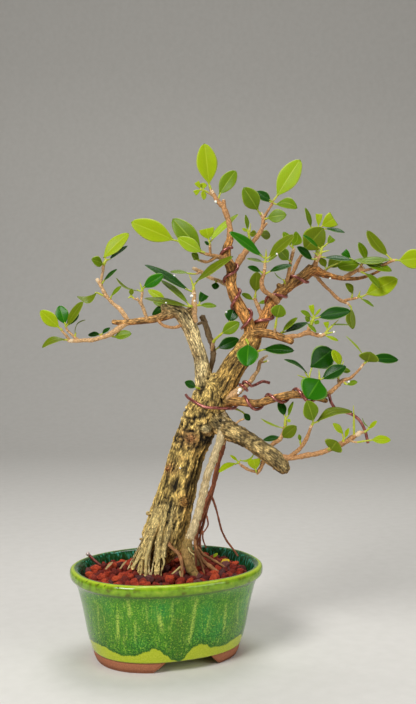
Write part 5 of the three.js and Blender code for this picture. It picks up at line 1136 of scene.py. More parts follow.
sprays["wired_branch_head"] = {"stems": [
    [[[312, 398, -32, 1.8], [310, 388, -38, 1.5], [309, 380, -39, 1.3]], [[310, 389, -37.5, 1.3],
     [315.5, 383.5, -40, 1.1], [319.5, 379.5, -41, 1]], ["deep", 310.5, 367, 332.5, 349.5, 20, 26, 5],
     ["deep", 307, 373, 283.8, 359.3, -4, 13, 72, -2], ["deep", 322, 379, 346, 366.3, -3, 17, 38],
     ["bright", 319.5, 379.5, 307.5, 398.5, -18, 31, 5], ["bud", 319.5, 379, 318.8, 369.5, 2],
     ["bud", 306, 380.5, 297.5, 375, -3]],
]}
sprays["wired_branch_tip"] = {"twigs": [
    [[322, 397, -34, 2.2], [330, 392.5, -38, 2], [338, 385.5, -41, 1.8], [343, 380, -43, 2],
     [350, 378, -45, 1.4], [357, 372, -48, 1.2], [363, 365, -50, 1.1]],
], "stems": [
    [[[339.5, 386, -41, 1.4], [338.5, 378, -39, 1.1], [339, 371, -37, 1]],
     ["lime", 340, 366, 333, 349.5, 8, 12, 30], ["green", 340.5, 370.5, 350.5, 371, 2, 7, 35],
     ["bud", 341, 368, 343.8, 361, 1]],
    [[[343.5, 381.5, -43, 1], [346, 384, -47, 0.9]], ["green", 347, 384.5, 357.5, 382, -4, 8, 50]],
    [[[362, 366, -50, 1.1], [366, 361.5, -51, 1]], ["lime", 363.5, 355.5, 346, 335.8, 6, 12, 76],
     ["olive", 367.5, 362, 370.5, 352, -10, 21, 10], ["deep", 370.5, 358.8, 398.5, 359.5, 8, 14, 42]],
]}
sprays["wired_branch_under"] = {"stems": [
    [[[230, 407, 2, 1.3], [238, 409.8, 4, 0.9], [243, 412.4, 5, 0.8]],
     ["deep", 243.8, 413.2, 250, 420.3, 3, 7, 10]],
]}
sprays["low_twig_left"] = {"twigs": [
    [[268, 449, -28, 2.2], [274, 443.5, -24, 2], [280, 439, -21, 1.8], [283, 434, -19, 1.7],
     [285, 426, -17, 1.5], [285.2, 420, -16, 1.3]],
], "stems": [
    [[[279.5, 440, -21, 1.9], [283, 434, -19, 1.7], [285, 426, -17, 1.5], [285.5, 420, -16, 1.2],
     [286, 417.5, -16, 1]], ["deep", 284.5, 416, 279, 400.8, 6, 10, 20],
     ["green", 288, 416.5, 293.3, 401.5, -4, 8, 65], ["lime", 282, 428, 260.8, 418.3, 4, 10, 80, 2],
     ["olive", 282, 437.5, 296.5, 426, -8, 13.5, 8], ["deep", 281, 437.5, 262.8, 440, 4, 10, 58],
     ["lime", 287.5, 419.5, 290.5, 422, -5, 4, 10]],
]}
sprays["low_branch_tip"] = {"twigs": [
    [[276, 459, -33, 4.4], [285, 458, -37, 3], [293, 457.5, -40, 2.6], [312, 454.5, -45, 2.5],
     [326, 450.5, -48, 2.4], [342, 443.5, -51, 2.5], [352, 438, -53, 2.4], [361, 432, -55, 2.2]],
    [[288, 458, -38, 2.4], [295, 453, -42, 2], [302, 446, -47, 1.9], [307, 438, -51, 1.7],
     [310, 430, -54, 1.5], [311.5, 425, -56, 1.1]],
], "stems": [
    [[[311.2, 427, -56, 1.1], [313, 423, -57, 1]], ["green", 313.3, 421, 307, 400.5, -12, 17, 12],
     ["olive", 316.5, 421.8, 352.5, 411.5, 8, 16, 62, 5]],
    [[[301.3, 448, -46.5, 0.9], [300.3, 442, -45, 0.8]], ["green", 300.2, 441, 299, 434.3, -1, 4, 10]],
    [[[328, 451.5, -48, 1], [329.5, 448, -54, 0.9]], ["olive", 330.5, 450, 337, 441, -5, 21, 12]],
    [[[343, 444.5, -51, 1.3], [343.5, 439, -53, 1]], ["lime", 343, 433.8, 332.8, 423.3, -3, 8.5, 38],
     ["lime", 345, 438, 349, 428, -3, 6, 55]],
    [[[354, 439, -53, 1], [354, 431, -56, 0.9]], ["bud", 354, 430, 353.5, 405.5, -2]],
    [[[349, 440, -52.5, 1.1], [356, 442, -59, 0.9], [364, 441, -61, 0.8], [370, 440.3, -62, 0.8]],
     ["lime", 371.5, 440, 390.9, 440, -3, 10.5, 38]],
    [[[359.5, 433, -55, 1.3], [365.5, 431.3, -57, 1], [368, 429.5, -58, 0.9]],
     ["green", 369.3, 427.5, 362.3, 417.8, 3, 4, 70, 2], ["lime", 369, 429, 377, 420.8, -4, 6, 55]],
]}
sprays["under_twig"] = {"twigs": [
    [[266, 455, -28, 2.4], [262, 465, -26, 1.9], [257, 473.5, -24, 1.8]],
    [[257.5, 472, -24, 1.5], [250, 470.5, -20, 1.5], [243, 466.5, -15, 1.4], [240, 464, -13, 1]],
], "stems": [
    [[[241, 465, -13, 1], [238.3, 462.5, -11, 0.9]], ["lime", 236.5, 463.5, 218.5, 472.3, -4, 10, 58, -2],
     ["lime", 237.5, 461, 230, 455, 3, 4, 40], ["lime", 239.5, 460.5, 254.5, 452.5, -3, 6, 70, -5]],
    [[[257.5, 474, -24, 1], [256, 470.5, -28, 0.9]], ["cut", "lime", 255.5, 469.5, 253.5, 459, -2, 15]],
]}
leafShape = {  # lengths in mm; fold, arch, droop and wave are shares of the width or the length
    "rows": 18, "columns": 12, "thickness": 0.6, "thinner": 0.55, "fold": 0.2, "cupWidth": 0.45,
    "arch": 0.045, "archOnEdge": 0.012, "edgeRolls": [20, 60], "droop": 0.012, "wave": 0.035,
    "stalk": 1.0, "stalkThin": 0.9, "stalkSag": 0.06, "sunk": 1.1,
}


def fullOutline(share):  # half width along a whole leaf: oval, widest past its middle, with a blunt point
    body = np.sin(math.pi * share ** 1.04) ** np.interp(share, [0, 0.45, 1], [0.95, 0.8, 0.6])
    return 1.05 * body


def cutOutline(share):  # a leaf shortened with scissors is widest at its end
    return np.sin(0.5 * math.pi * np.clip(share * 1.15, 0, 1)) ** 0.8


def leafAxes(base, tip, roll):
    along = tip - base
    length = np.linalg.norm(along)
    along = along / length
    facing = unit(np.array([0, -1, 0]) + along * along[1])
    upward = np.cross(along, facing)
    if upward[2] < 0:
        upward = -upward
    turn = math.radians(roll)
    normal = facing * math.cos(turn) + upward * math.sin(turn)
    return along, length, normal, np.cross(along, normal)


def leafBlade(base, tip, width, roll, bend, cut, mark):
    look = leafShape
    along, length, normal, side = leafAxes(base, tip, roll)
    inPicture = unit(np.array([-along[2], 0, along[0]]))
    rows, columns = look["rows"], look["columns"]
    share, across = np.meshgrid(np.linspace(0, 1, rows + 1), np.linspace(-1, 1, columns + 1), indexing="ij")
    share, across = share.ravel(), across.ravel()
    outline = cutOutline(share) if cut else fullOutline(share)
    half = np.maximum(0.5 * width * outline, look["stalk"] * (share < 0.5))
    bow = np.sin(math.pi * share)
    away = np.abs(across)
    swell = softNoise(np.column_stack([share * 5 + mark * 7, across * 1.2, share * 0 + mark]), 1)
    arch = np.interp(roll, look["edgeRolls"], [look["arch"], look["archOnEdge"]])
    lift = arch * length * bow + look["fold"] * half * (away - look["cupWidth"] * away ** 2)
    lift = lift + look["wave"] * width * away ** 2 * swell
    lift -= look["droop"] * length * share ** 3
    middle = base + along * (length * share)[:, None] + inPicture * (bend * bow)[:, None]
    middle = middle + side * (across * half)[:, None]
    thick = 0.5 * look["thickness"] * (1 - look["thinner"] * away)
    rim = (away > 0.999) | (share < 1e-6) | (share > 0.999)
    thick[rim] = 0
    top = middle + normal * (lift + thick)[:, None]
    under = middle + normal * (lift - thick)[:, None]
    place = np.column_stack([across, share * (0.5 if cut else 1), np.full(len(share), mark)])
    index = np.arange(len(share)).reshape(rows + 1, columns + 1)
    below = index + len(share)
    below[:, 0], below[:, -1], below[0], below[-1] = index[:, 0], index[:, -1], index[0], index[-1]
    faces = []
    for i in range(rows):
        for k in range(columns):
            faces.append([index[i, k], index[i, k + 1], index[i + 1, k + 1], index[i + 1, k]])
            faces.append([below[i, k], below[i + 1, k], below[i + 1, k + 1], below[i, k + 1]])
    return withoutGaps(np.vstack([top, under]), faces, np.vstack([place, place]))


def withoutGaps(points, faces, place):  # drops points that no face uses, and faces with too few corners
    faces = [[int(i) for k, i in enumerate(face) if i != face[k - 1]] for face in faces]
    faces = [face for face in faces if len(set(face)) > 2]
    used = sorted({i for face in faces for i in face})
    new = {old: i for i, old in enumerate(used)}
    return points[used], [[new[i] for i in face] for face in faces], place[used]


def growLeaf(heap, seat, row, cut):
    look = leafShape
    tone, baseAcross, baseDown, tipAcross, tipDown, lean, width, roll, bend = (row + [0, 0])[:9]
    base = spot([baseAcross, baseDown, seat[1] + 0.15 * lean])
    tip = spot([tipAcross, tipDown, seat[1] + lean])
    mark = (tipAcross * 0.137 + tipDown * 0.291) % 1  # no two leaves alike
    addTo(heap, leafBlade(base, tip, width, roll, bend, cut, mark), "waxyLeaf." + tone)
    heel = seat - unit(base - seat) * look["sunk"]
    middle = 0.5 * (heel + base) - np.array([0, 0, look["stalkSag"]]) * np.linalg.norm(base - heel)
    into = base + (tip - base) * 0.09
    line, marks = evenly(curveThrough([heel, middle, into], 8), count=8)
    radii = look["stalk"] * look["stalkThin"] * np.interp(marks, [0, marks[-1]], [1.25, 0.85])
    addTo(heap, tube(line, radii, marks, 8), "leafStalk")


shootShape = {"swell": 1.3, "sides": 10, "step": 1.1, "woody": 0.45, "cutEnd": 0.93, "cutSwell": 1.12,
              "seats": 17, "bareSeats": 4}
budShape = {"shares": [0, 0.3, 1], "radii": [1.35, 1.25, 0.35], "bow": [0.2, 0, 0.2], "sides": 10,
            "dome": 1.5}


def growBud(heap, seat, tip):
    line, marks = evenly(np.array([seat, 0.5 * (seat + tip) + budShape["bow"], tip]), count=9)
    radii = np.interp(marks / marks[-1], budShape["shares"], budShape["radii"])
    addTo(heap, tube(line, radii, marks, budShape["sides"], dome=budShape["dome"]), "leafStalk")


def growStem(heap, stem):  # a shoot: woody below, and as green as its leaf stalks towards its tip
    look = shootShape
    seats = []
    for stations in [row for row in stem if isinstance(row[0], list)]:
        line = curveThrough(np.array([spot(station[:3]) for station in stations]))
        seats.extend(evenly(line, count=look["seats"])[0][look["bareSeats"]:])
        shoot = thinTube(stations, look["swell"], look["sides"], look["step"])
        finish = [[look["woody"], "paleTwigBark"], [1, "leafStalk"]]
        addTo(heap, shoot, finishAlong(shoot, look["sides"], finish))

    def seatFor(across, down):  # the stem's nearest point, as seen in the photograph
        return min(seats, key=lambda seat: np.hypot(*(spot([across, down, seat[1]]) - seat)[[0, 2]]))

    for kind, *rest in [row for row in stem if isinstance(row[0], str)]:
        if kind == "bud":
            across, down, tipAcross, tipDown, lean = rest
            seat = seatFor(across, down)
            growBud(heap, seat, spot([tipAcross, tipDown, seat[1] + lean]))
        else:
            leaf = rest if kind == "cut" else [kind, *rest]
            growLeaf(heap, seatFor(leaf[1], leaf[2]), leaf, kind == "cut")


paleSprays = ["pale_twig", "pale_stub", "left_fork", "left_riser", "short_riser", "high_twig"]


def makeSprays():
    pieces = []
    for name, spray in sprays.items():
        heap = newHeap()
        bark = "paleTwigBark" if name in paleSprays else "twigBark"
        finish = [[shootShape["cutEnd"], bark], [1, "cutWood"]]
        for stations in spray.get("twigs", []):
            twig = thinTube(stations, shootShape["cutSwell"])
            addTo(heap, twig, finishAlong(twig, twigShape["sides"], finish))
        for stem in spray["stems"]:
            growStem(heap, stem)
        pieces.append(makePiece(name + "_spray", heap, [name]))
    return pieces


sprayPieces = makeSprays()
print("sprays:", len(sprayPieces))

# Training wires: round wire, wound on the limbs, with plain cut ends. It is drawn a little thicker than its
# radius, as thick as the photograph shows it. Sizes are in mm.
wireSize = {"radius": 1.35, "shown": 1.75, "sides": 16, "step": 1.1, "clearance": 0.7, "perTurn": 9,
            "dome": 0.12}
quarterTurn = math.pi / 2
wireStart = [[186, 395, 12], [188.5, 398, 2], [195, 402, -7], [205, 407, -12], [217, 408, -13.5],
             [227, 408.5, -10], [234, 408, 1], [240, 402, 6]]
wireEnd = [[328, 393, -37], [331, 402, -42], [336, 409, -40], [345, 412, -36], [353, 415, -32],
           [360, 421, -29], [365, 431, -27], [368, 443, -26]]
neckEnd = [[256, 384.5, 6], [263, 381.5, 4], [270, 383, 3]]
tieEnd = [[87, 553, 24], [95, 561, 26], [103, 568, 28], [106, 573, 29]]
# What each wire follows, one after the other: places, or a coil, with its limb, the shares of the limb at
# which it starts and ends, its first angle and its turns.
wires = {
    "wire_apex": [[limbs["apexBranch"], 0.12, 0.86, -quarterTurn, 3.4]],
    "wire_limb": [[limbs["upperLimb"], 0.1, 0.5, -quarterTurn, 2.5]],
    "wire_trunk": [wireStart, [limbs["wiredBranch"], 0.22, 0.95, -0.9 * quarterTurn, 2.9], wireEnd],
    "wire_neck": [[sprays["pale_twig"]["twigs"][0], 0.3, 0.42, -quarterTurn, 1.4], neckEnd],
    "tie_wire": [tieEnd],
}
tieCut = {"length": [0, 2, 3.5], "wider": [0.8, 0.6, 0], "bare": 0.08}  # the cutters squeezed its end flat


def coil(stations, start, end, angle, turns):  # a helix between two shares of a limb; angle 0 is in front
    line, radii, marks = limbLine(stations, 0.8)
    tangents = unit(np.gradient(line, axis=0))
    count = math.ceil(turns * wireSize["perTurn"]) + 1
    along = np.linspace(start, end, count) * marks[-1]
    centres, ways = [np.column_stack([np.interp(along, marks, column) for column in table.T])
                     for table in (line, tangents)]
    ways = unit(ways)
    front = unit(np.array([0, -1, 0]) + ways * ways[:, 1:2])
    side = np.cross(ways, front)
    turn = angle + 2 * math.pi * turns * np.linspace(0, 1, count)
    reach = np.interp(along, marks, radii) + wireSize["radius"] + wireSize["clearance"]
    return centres + (reach * np.cos(turn))[:, None] * front + (reach * np.sin(turn))[:, None] * side


def makeWires():
    for name, parts in wires.items():
        route = [coil(*part) if isinstance(part[0][0], list) else [spot(place) for place in part]
                 for part in parts]
        line, marks = evenly(curveThrough(np.vstack(route)), wireSize["step"])
        radii = np.full(len(line), wireSize["shown"])
        bare = -1
        if name == "tie_wire":
            radii = radii + np.interp(marks, tieCut["length"], tieCut["wider"])
            bare = tieCut["bare"]
        wire = tube(line, radii, marks, wireSize["sides"], dome=wireSize["dome"])
        finish = [[bare, "cutAluminium"], [2, "anodisedAluminium"], [3, "cutAluminium"]]
        heap = newHeap()
        addTo(heap, wire, finishAlong(wire, wireSize["sides"], finish))
        makePiece(name + "_round", heap, [name])


makeWires()
print("wires are on")

# The pot: a lathe shape pressed to a rounded oval, with two curved feet and two drain holes. Its profiles
# have rows of [how far in from the pot's largest oval, height], in mm.
pot = {
    "halfLength": 110, "halfWidth": 91.05, "roundness": 2.24, "sides": 400,
    "outside": [[24, 12.5], [21.2, 22], [18.9, 31], [16.1, 46], [13.2, 61], [10.6, 72], [8.6, 80], [6.4, 85],
                [3.6, 89], [1, 91.4], [0, 94.5], [0, 97.6], [0.8, 100.4], [3.6, 102]],
    "inside": [[6, 102], [7.6, 101.4], [10, 99.4], [11, 97], [12.4, 91], [17, 66], [22, 40], [28, 24],
               [36, 20]],
    "outsideStep": 1.6, "insideStep": 2.5,
    "drainRadius": 6, "drainFromMiddle": 42, "drainSides": 48, "drilled": [5, 30],
}
foot = {"height": 12.5, "sunk": 1.5, "outer": [[29.6, 0.8], [28.8, 0], [26.6, 5], [25.6, 9], [25.2, 12.5]],
        "inner": 42, "gapAtTop": 52, "gapAtBottom": 78, "steps": 40}


def ovalPoint(turn, inset, height):  # a point on the pot, in its own frame, with the front at turn 0
    length, width = pot["halfLength"] - inset, pot["halfWidth"] - inset
    power = 2 / pot["roundness"]
    x = np.sign(np.sin(turn)) * np.abs(np.sin(turn)) ** power * length
    y = -np.sign(np.cos(turn)) * np.abs(np.cos(turn)) ** power * width
    return np.stack([x, y, np.broadcast_to(height, np.shape(x))], axis=-1)


def smoothProfile(profile, step):
    corners = np.column_stack([profile, np.zeros(len(profile))])
    return evenly(curveThrough(corners, 8), step)[0][:, :2]


def stackRings(rings):  # a closed shape of rings with as many points each, with a flat cap at each end
    count, sides = rings.shape[:2]
    faces = []
    for i in range(count - 1):
        for k in range(sides):
            after = (k + 1) % sides
            faces.append([i * sides + k, i * sides + after, (i + 1) * sides + after, (i + 1) * sides + k])
    faces.append(list(range(sides))[::-1])
    faces.append(list(range((count - 1) * sides, count * sides)))
    return rings.reshape(-1, 3), faces


def ownFrame(points):  # the pot's own frame is the part's, moved to the pot's middle
    return (points + potMiddle) * mm


def drillCylinder(across):
    turns = 2 * math.pi * np.arange(pot["drainSides"]) / pot["drainSides"]
    x, y = across + pot["drainRadius"] * np.cos(turns), pot["drainRadius"] * np.sin(turns)
    rings = np.stack([np.column_stack([x, y, np.full(len(turns), level)]) for level in pot["drilled"]])
    points, faces = stackRings(rings)
    return newObject("drill", ownFrame(points), faces)


def makePot():
    profile = np.vstack([smoothProfile(pot["outside"], pot["outsideStep"]),
                         smoothProfile(pot["inside"], pot["insideStep"])])
    turns = 2 * math.pi * np.arange(pot["sides"]) / pot["sides"]
    points, faces = stackRings(np.stack([ovalPoint(turns, inset, height) for inset, height in profile]))
    piece = newObject("glazed_pot", ownFrame(points), faces)
    for side in (-1, 1):
        drill = drillCylinder(side * pot["drainFromMiddle"])
        cut = piece.modifiers.new("drain", "BOOLEAN")
        cut.operation = "DIFFERENCE"
        cut.object = drill
        bake(piece)
        bpy.data.objects.remove(drill)
    paintGlaze(piece)
    setFinish(piece, "glazedStoneware")
    dress(piece, ["pot"])


# The runs of glaze: [degrees round the pot from its front, height of their lower edge in mm].
glazeRuns = [
    [-180, 25], [-168, 18], [-154, 28], [-142, 21], [-128, 27], [-115, 19], [-101, 23], [-88, 26],
    [-78, 26.5], [-68, 27], [-59, 22.5], [-50, 20], [-41.5, 21.5], [-33, 26.5], [-27.4, 30.5], [-24, 27.5],
    [-19.5, 21.5], [-14.3, 15], [-9.3, 12], [-5.6, 14.5], [-2.3, 22], [1.6, 27.5], [6.8, 30], [11.4, 28],
    [16.4, 23.5], [22.6, 22.3], [29.5, 21.5], [37, 25], [48.6, 26], [60, 19], [72, 28], [86, 21], [98, 29],
    [112, 18], [126, 27], [140, 20], [154, 28], [166, 21], [180, 25],
]
# The flow of the glaze. Streaks: [degrees at the top, degrees at the bottom, top, bottom, half width,
# strength]. Emerald and olive bands: [degrees, half width in degrees, top, bottom, strength]. The rest is
# in mm.
glazeFlow = {
    "streak": [
        [-65.5, -72, 80, 36, 1.5, 0.5], [-50.1, -52.4, 74, 36, 2, 0.9], [-41.7, -42.5, 90, 62, 1.9, 0.9],
        [-38.2, -39.4, 66, 34, 1.5, 0.55], [-24.5, -20.8, 74, 46, 2.2, 1], [0.4, -2.3, 86, 29, 1.9, 1],
        [23, 26.4, 74, 32, 1.9, 0.8], [33.9, 39.8, 76, 38, 1.6, 0.6], [-31, -31, 86, 60, 1.4, 0.4],
        [-15.3, -15, 88, 56, 1.5, 0.45], [11, 12, 70, 40, 1.3, 0.35], [48, 52, 80, 38, 1.8, 0.55],
    ],
    "emerald": [[-23, 7, 92, 58, 0.9], [8, 7, 84, 30, 0.9], [20, 8, 66, 26, 0.9], [-36, 8, 50, 22, 0.5],
                [-58, 5, 90, 60, 0.4], [46, 8, 84, 40, 0.6]],
    "olive": [[-10, 7, 72, 10, 0.9], [-66, 12, 84, 24, 0.6], [-88, 8, 90, 30, 0.5], [-31, 5, 74, 34, 0.5],
              [-46, 5, 60, 26, 0.4], [36, 6, 60, 30, 0.6]],
}
# More of each round the back, at random between these limits. A streak's bottom is counted from its top.
flowLimits = {
    "seed": 21, "number": 20,
    "streak": [[58, 258], [-4, 4], [66, 90], [28, 50], [1.3, 2.1], [0.4, 1]],
    "emerald": [[62, 252], [4, 8], [70, 90], [24, 50], [0.2, 0.6]],
    "olive": [[62, 252], [4, 8], [60, 84], [14, 36], [0.2, 0.5]],
}
# A dark line just under the rim is painted as the shadow of its overhang, and the rim's top edge is painted
# paler as a highlight.
glazeEdge = {"wobble": 0.8, "rimFrom": 89.6, "rimOver": 1.8, "insideFrom": 3.9, "insideOver": 1.9,
             "lipAt": 101.6, "lipWide": 1.1, "rimShadowAt": 89.2, "rimShadowWide": 1.2, "rimShadowStrength": 0.85,
             "waver": 0.8, "waverLength": 12}
# Pits: [degrees, height, size in mm].
rimPits = [[-71, 100.6, 0.8], [-60, 100.4, 1], [-54.6, 100.2, 0.9], [-46, 100, 1.1], [-23.2, 100.6, 0.5],
           [-35, 95, 0.5], [110, 97, 0.8], [170, 99, 0.8], [-130, 98, 0.9]]


def runEdge(turn):  # rounded lobes between the points of the list, in mm
    degrees = np.degrees((turn + math.pi) % (2 * math.pi) - math.pi)
    at, level = np.array(glazeRuns, float).T
    after = np.clip(np.searchsorted(at, degrees, side="right"), 1, len(at) - 1)
    share = (degrees - at[after - 1]) / (at[after] - at[after - 1])
    return level[after - 1] + (level[after] - level[after - 1]) * (0.5 - 0.5 * np.cos(math.pi * share))


def flowRows():
    random = np.random.default_rng(flowLimits["seed"])
    rows = {kind: list(chosen) for kind, chosen in glazeFlow.items()}
    for _ in range(flowLimits["number"]):
        for kind in rows:
            row = [random.uniform(low, high) for low, high in flowLimits[kind]]
            if kind == "streak":
                row[1] += row[0]
            rows[kind].append(row)
    return rows


def insetOf(x, y):  # how far each point lies within the pot's largest oval
    low, high = np.zeros(len(x)), np.full(len(x), pot["halfWidth"] - 1)
    for _ in range(20):
        inset = (low + high) / 2
        inner = (np.abs(x / (pot["halfLength"] - inset)) ** pot["roundness"]
                 + np.abs(y / (pot["halfWidth"] - inset)) ** pot["roundness"]) < 1
        low, high = np.where(inner, inset, low), np.where(inner, high, inset)
    return inset


def paintGlaze(piece):
    look = glazeEdge
    points = readPoints(piece.data, "co") / mm - potMiddle
    x, y, height = points.T
    turn = np.arctan2(x / pot["halfLength"], -y / pot["halfWidth"])
    degrees = np.degrees(turn)
    girth = math.radians(pot["halfLength"])  # mm to each degree
    flat = np.column_stack([degrees * 0.3, height, height * 0])
    waver = look["waver"] * softNoise(flat, look["waverLength"])

    def apart(at):
        return (degrees - at + 180) % 360 - 180

    def between(top, bottom, topFade, bottomFade):
        return np.clip((top - height) / topFade, 0, 1) * np.clip((height - bottom) / bottomFade, 0, 1)

    profile = np.array(pot["outside"], float)
    wall = np.interp(height, profile[:, 1], profile[:, 0])
    # inside: where the inner wall is painted dark, as painted shade
    inside = np.clip((insetOf(x, y) - np.maximum(wall + 0.8, look["insideFrom"])) / look["insideOver"], 0, 1)
    above = height - runEdge(turn) - look["wobble"] * softNoise(points, 5)
    rim = np.clip((height - look["rimFrom"]) / look["rimOver"], 0, 1)
    # painted highlight: a paler line along the rim's top edge
    lip = np.exp(-((height - look["lipAt"]) / look["lipWide"]) ** 2)
    # painted shadow: a dark line just under the rim's overhang
    seam = look["rimShadowStrength"] * np.exp(-((height - look["rimShadowAt"]) / look["rimShadowWide"]) ** 2)
    pits, streak, emerald, olive = np.zeros((4, len(x)))
    for at, level, size in rimPits:
        pits = np.maximum(pits, np.clip(1.5 - np.hypot(apart(at) * girth, height - level) / size, 0, 1))
    rows = flowRows()
    for upper, lower, top, bottom, half, strength in rows["streak"]:
        share = np.clip((top - height) / (top - bottom), 0, 1)
        away = (apart(upper + (lower - upper) * share) + waver) * girth
        streak = np.maximum(streak, strength * between(top, bottom, 8, 8) * np.exp(-(away / half) ** 2))
    for kind, field in (("emerald", emerald), ("olive", olive)):
        for at, half, top, bottom, strength in rows[kind]:
            spread = np.exp(-((apart(at) + 3 * waver) / half) ** 2)
            field[:] = np.maximum(field, strength * between(top, bottom, 14, 10) * spread)
    setAttribute(piece, "glaze", "FLOAT_VECTOR", np.column_stack([above, rim, inside]))
    setAttribute(piece, "lip", "FLOAT_VECTOR", np.column_stack([lip, seam, pits]) * (1 - inside)[:, None])
    setAttribute(piece, "flow", "FLOAT_VECTOR", np.column_stack([streak, emerald, olive]))
    setAttribute(piece, "place", "FLOAT_VECTOR", points)


def footShape(side):  # a curved bar under one end of the pot
    steps = foot["steps"]
    profile = foot["outer"] + [[foot["inner"], foot["height"] + foot["sunk"]], [foot["inner"], 0]]
    rows = []
    for inset, height in profile:
        gap = np.interp(height, [0, foot["height"]], [foot["gapAtBottom"], foot["gapAtTop"]]) / 2
        reach = min(1, gap / (pot["halfLength"] - inset)) ** (pot["roundness"] / 2)
        start = math.asin(reach)
        rows.append(ovalPoint(side * np.linspace(start, math.pi - start, steps), inset, height))
    count = len(rows)
    faces = []
    for i in range(count):
        after = (i + 1) % count
        for k in range(steps - 1):
            faces.append([i * steps + k, i * steps + k + 1, after * steps + k + 1, after * steps + k])
    faces.append([i * steps for i in range(count)])
    faces.append([i * steps + steps - 1 for i in range(count)][::-1])
    if side < 0:
        faces = [face[::-1] for face in faces]
    points = np.vstack(rows)
    return points, faces, points


def makeFeet():
    heap = newHeap()
    for side in (-1, 1):
        addTo(heap, footShape(side), "bareTerracotta")
    piece = newObject("terracotta_feet", ownFrame(np.vstack(heap["points"])), heap["faces"])
    setFinish(piece, "bareTerracotta")
    dress(piece, ["pot"])


makePot()
makeFeet()
print("pot is in")

# Lava grit: lumps of scoria over the soil, on the same lattice as the solid's, with smaller ones between.
# Sizes are in mm.
grit = {
    "seed": 7, "columns": 24, "rows": 18, "loose": 0.2, "halfLength": 94.5, "halfWidth": 75.7,
    "roundness": 2.24, "bottom": 86.3, "lumpLow": 7.4, "lumpHigh": 11, "mound": 2, "smallest": 4,
    "largest": 6.4, "between": 0.62, "betweenSunk": 4.6, "betweenShare": 0.5,
    "tones": [0.6, 0.32, 0.08],  # how often each of lavaTones comes
    "squeeze": [0.75, 1.15], "shades": [0.35, 1.25],
    "rough": [[0, 0.8, 0.4], [5, 0.36, 0.18], [11, 0.17, 0.12]],  # offset, period and height on a ball of 1
}
# Lumps heaped against the back wall and behind the roots: [across, down, height of their tops in mm].
highLumps = [[190, 557, 100], [199, 556.5, 101], [207, 557, 100.5], [216, 559, 100], [225, 561, 100.5],
             [233, 564, 100], [240, 568, 99.5], [88, 567, 99.5], [96, 564.5, 100.5], [104, 563, 100],
             [112, 562, 100.5], [120, 561.5, 100]]


def icosphere(subdivisions):
    ball = bmesh.new()
    bmesh.ops.create_icosphere(ball, subdivisions=subdivisions, radius=1)
    points = np.array([vertex.co for vertex in ball.verts])
    faces = [[vertex.index for vertex in face.verts] for face in ball.faces]
    ball.free()
    return points, faces


def onLevel(across, down, height):  # the point at that height which the eye sees there
    near, far = spot([across, down, -100]), spot([across, down, 100])
    return near + (far - near) * (height - near[2]) / (far[2] - near[2])


def gritSites():  # [x, y, top] of each lump, and of each valley between four lumps, in the pot's own frame
    state = grit["seed"]
    lumps, valleys = [], []
    for row in range(grit["rows"] + 1):
        for column in range(grit["columns"] + 1):
            draws = []
            for _ in range(3):
                state = (state * 1664525 + 1013904223) % 2 ** 32
                draws.append(state / 2 ** 32)
            up, right, back = draws
            if row in (0, grit["rows"]) or column in (0, grit["columns"]):
                continue
            u = 2 * (column + grit["loose"] * (2 * right - 1)) / grit["columns"] - 1
            v = 2 * (row + grit["loose"] * (2 * back - 1)) / grit["rows"] - 1
            x, y = u * math.sqrt(1 - v * v / 2), v * math.sqrt(1 - u * u / 2)
            power = (abs(x) ** grit["roundness"] + abs(y) ** grit["roundness"]) ** (1 / grit["roundness"])
            stretch = math.hypot(x, y) / max(power, 1e-6)
            top = grit["bottom"] + grit["lumpLow"] + (grit["lumpHigh"] - grit["lumpLow"]) * up
            site = [x * stretch * grit["halfLength"], y * stretch * grit["halfWidth"],
                    top + grit["mound"] * (1 - max(u * u, v * v))]
            (lumps if (row + column) % 2 == 0 else valleys).append(site)
    return lumps, valleys


def makeGrit():
    random = np.random.default_rng(grit["seed"])
    ball, ballFaces = icosphere(3)
    heaps = {tone: newHeap() for tone in lavaTones}
    lumps, valleys = gritSites()
    high = [[*(viewToPart @ onLevel(*place))[:2], place[2]] for place in highLumps]
    for kind, sites in (("lump", lumps), ("between", valleys), ("high", high)):
        for x, y, top in sites:
            size = random.uniform(grit["smallest"], grit["largest"])
            stretch = random.uniform(*grit["squeeze"], 3)
            tone = random.choice(list(lavaTones), p=grit["tones"])
            offset = random.uniform(0, 30, 3)
            turn = np.array(Quaternion(random.normal(size=4)).normalized().to_matrix())
            shade = random.uniform(*grit["shades"])
            if kind == "between":
                size, top = size * grit["between"], top - grit["betweenSunk"]
                if random.random() < grit["betweenShare"]:
                    continue
            out = 1 + sum(reach * softNoise(ball + offset + more, period)
                          for more, period, reach in grit["rough"])
            shape = (ball * out[:, None] * stretch) @ turn.T * size
            centre = np.array([x, y, top - shape[:, 2].max()])
            lump = shape + centre, ballFaces, np.full((len(ball), 3), shade)
            addTo(heaps[tone], lump, "lavaStone." + tone)
    for tone, heap in heaps.items():
        piece = newObject("lava_" + tone, ownFrame(np.vstack(heap["points"])), heap["faces"])
        setFinish(piece, "lavaStone." + tone)
        setAttribute(piece, "shade", "FLOAT", np.vstack(heap["place"])[:, 0])
        dress(piece, ["lava_grit"])


makeGrit()
print("lava grit is in")

# Drops of dried sap where leaves were pinched off, each on what the eye meets there: [across, down, radius
# in mm].
sapDrops = [[213.5, 204, 1.6], [192, 296, 1.9], [194.5, 301, 1.2], [282, 284, 1.4], [330, 279, 1.3],
            [320, 333, 1.3], [270, 360, 1.3], [240, 390, 2.6], [238.5, 393, 1.4], [349, 382, 1.3],
            [277, 254, 1.2], [334, 332, 1.2], [174.5, 275.5, 1.1], [180, 468, 0.9], [166, 303, 1],
            [224, 310, 1]]
sapShape = {"reach": 6, "tries": 40, "spread": 0.7, "turn": 2.4, "flat": 0.75, "rough": 0.25, "lump": 0.9}


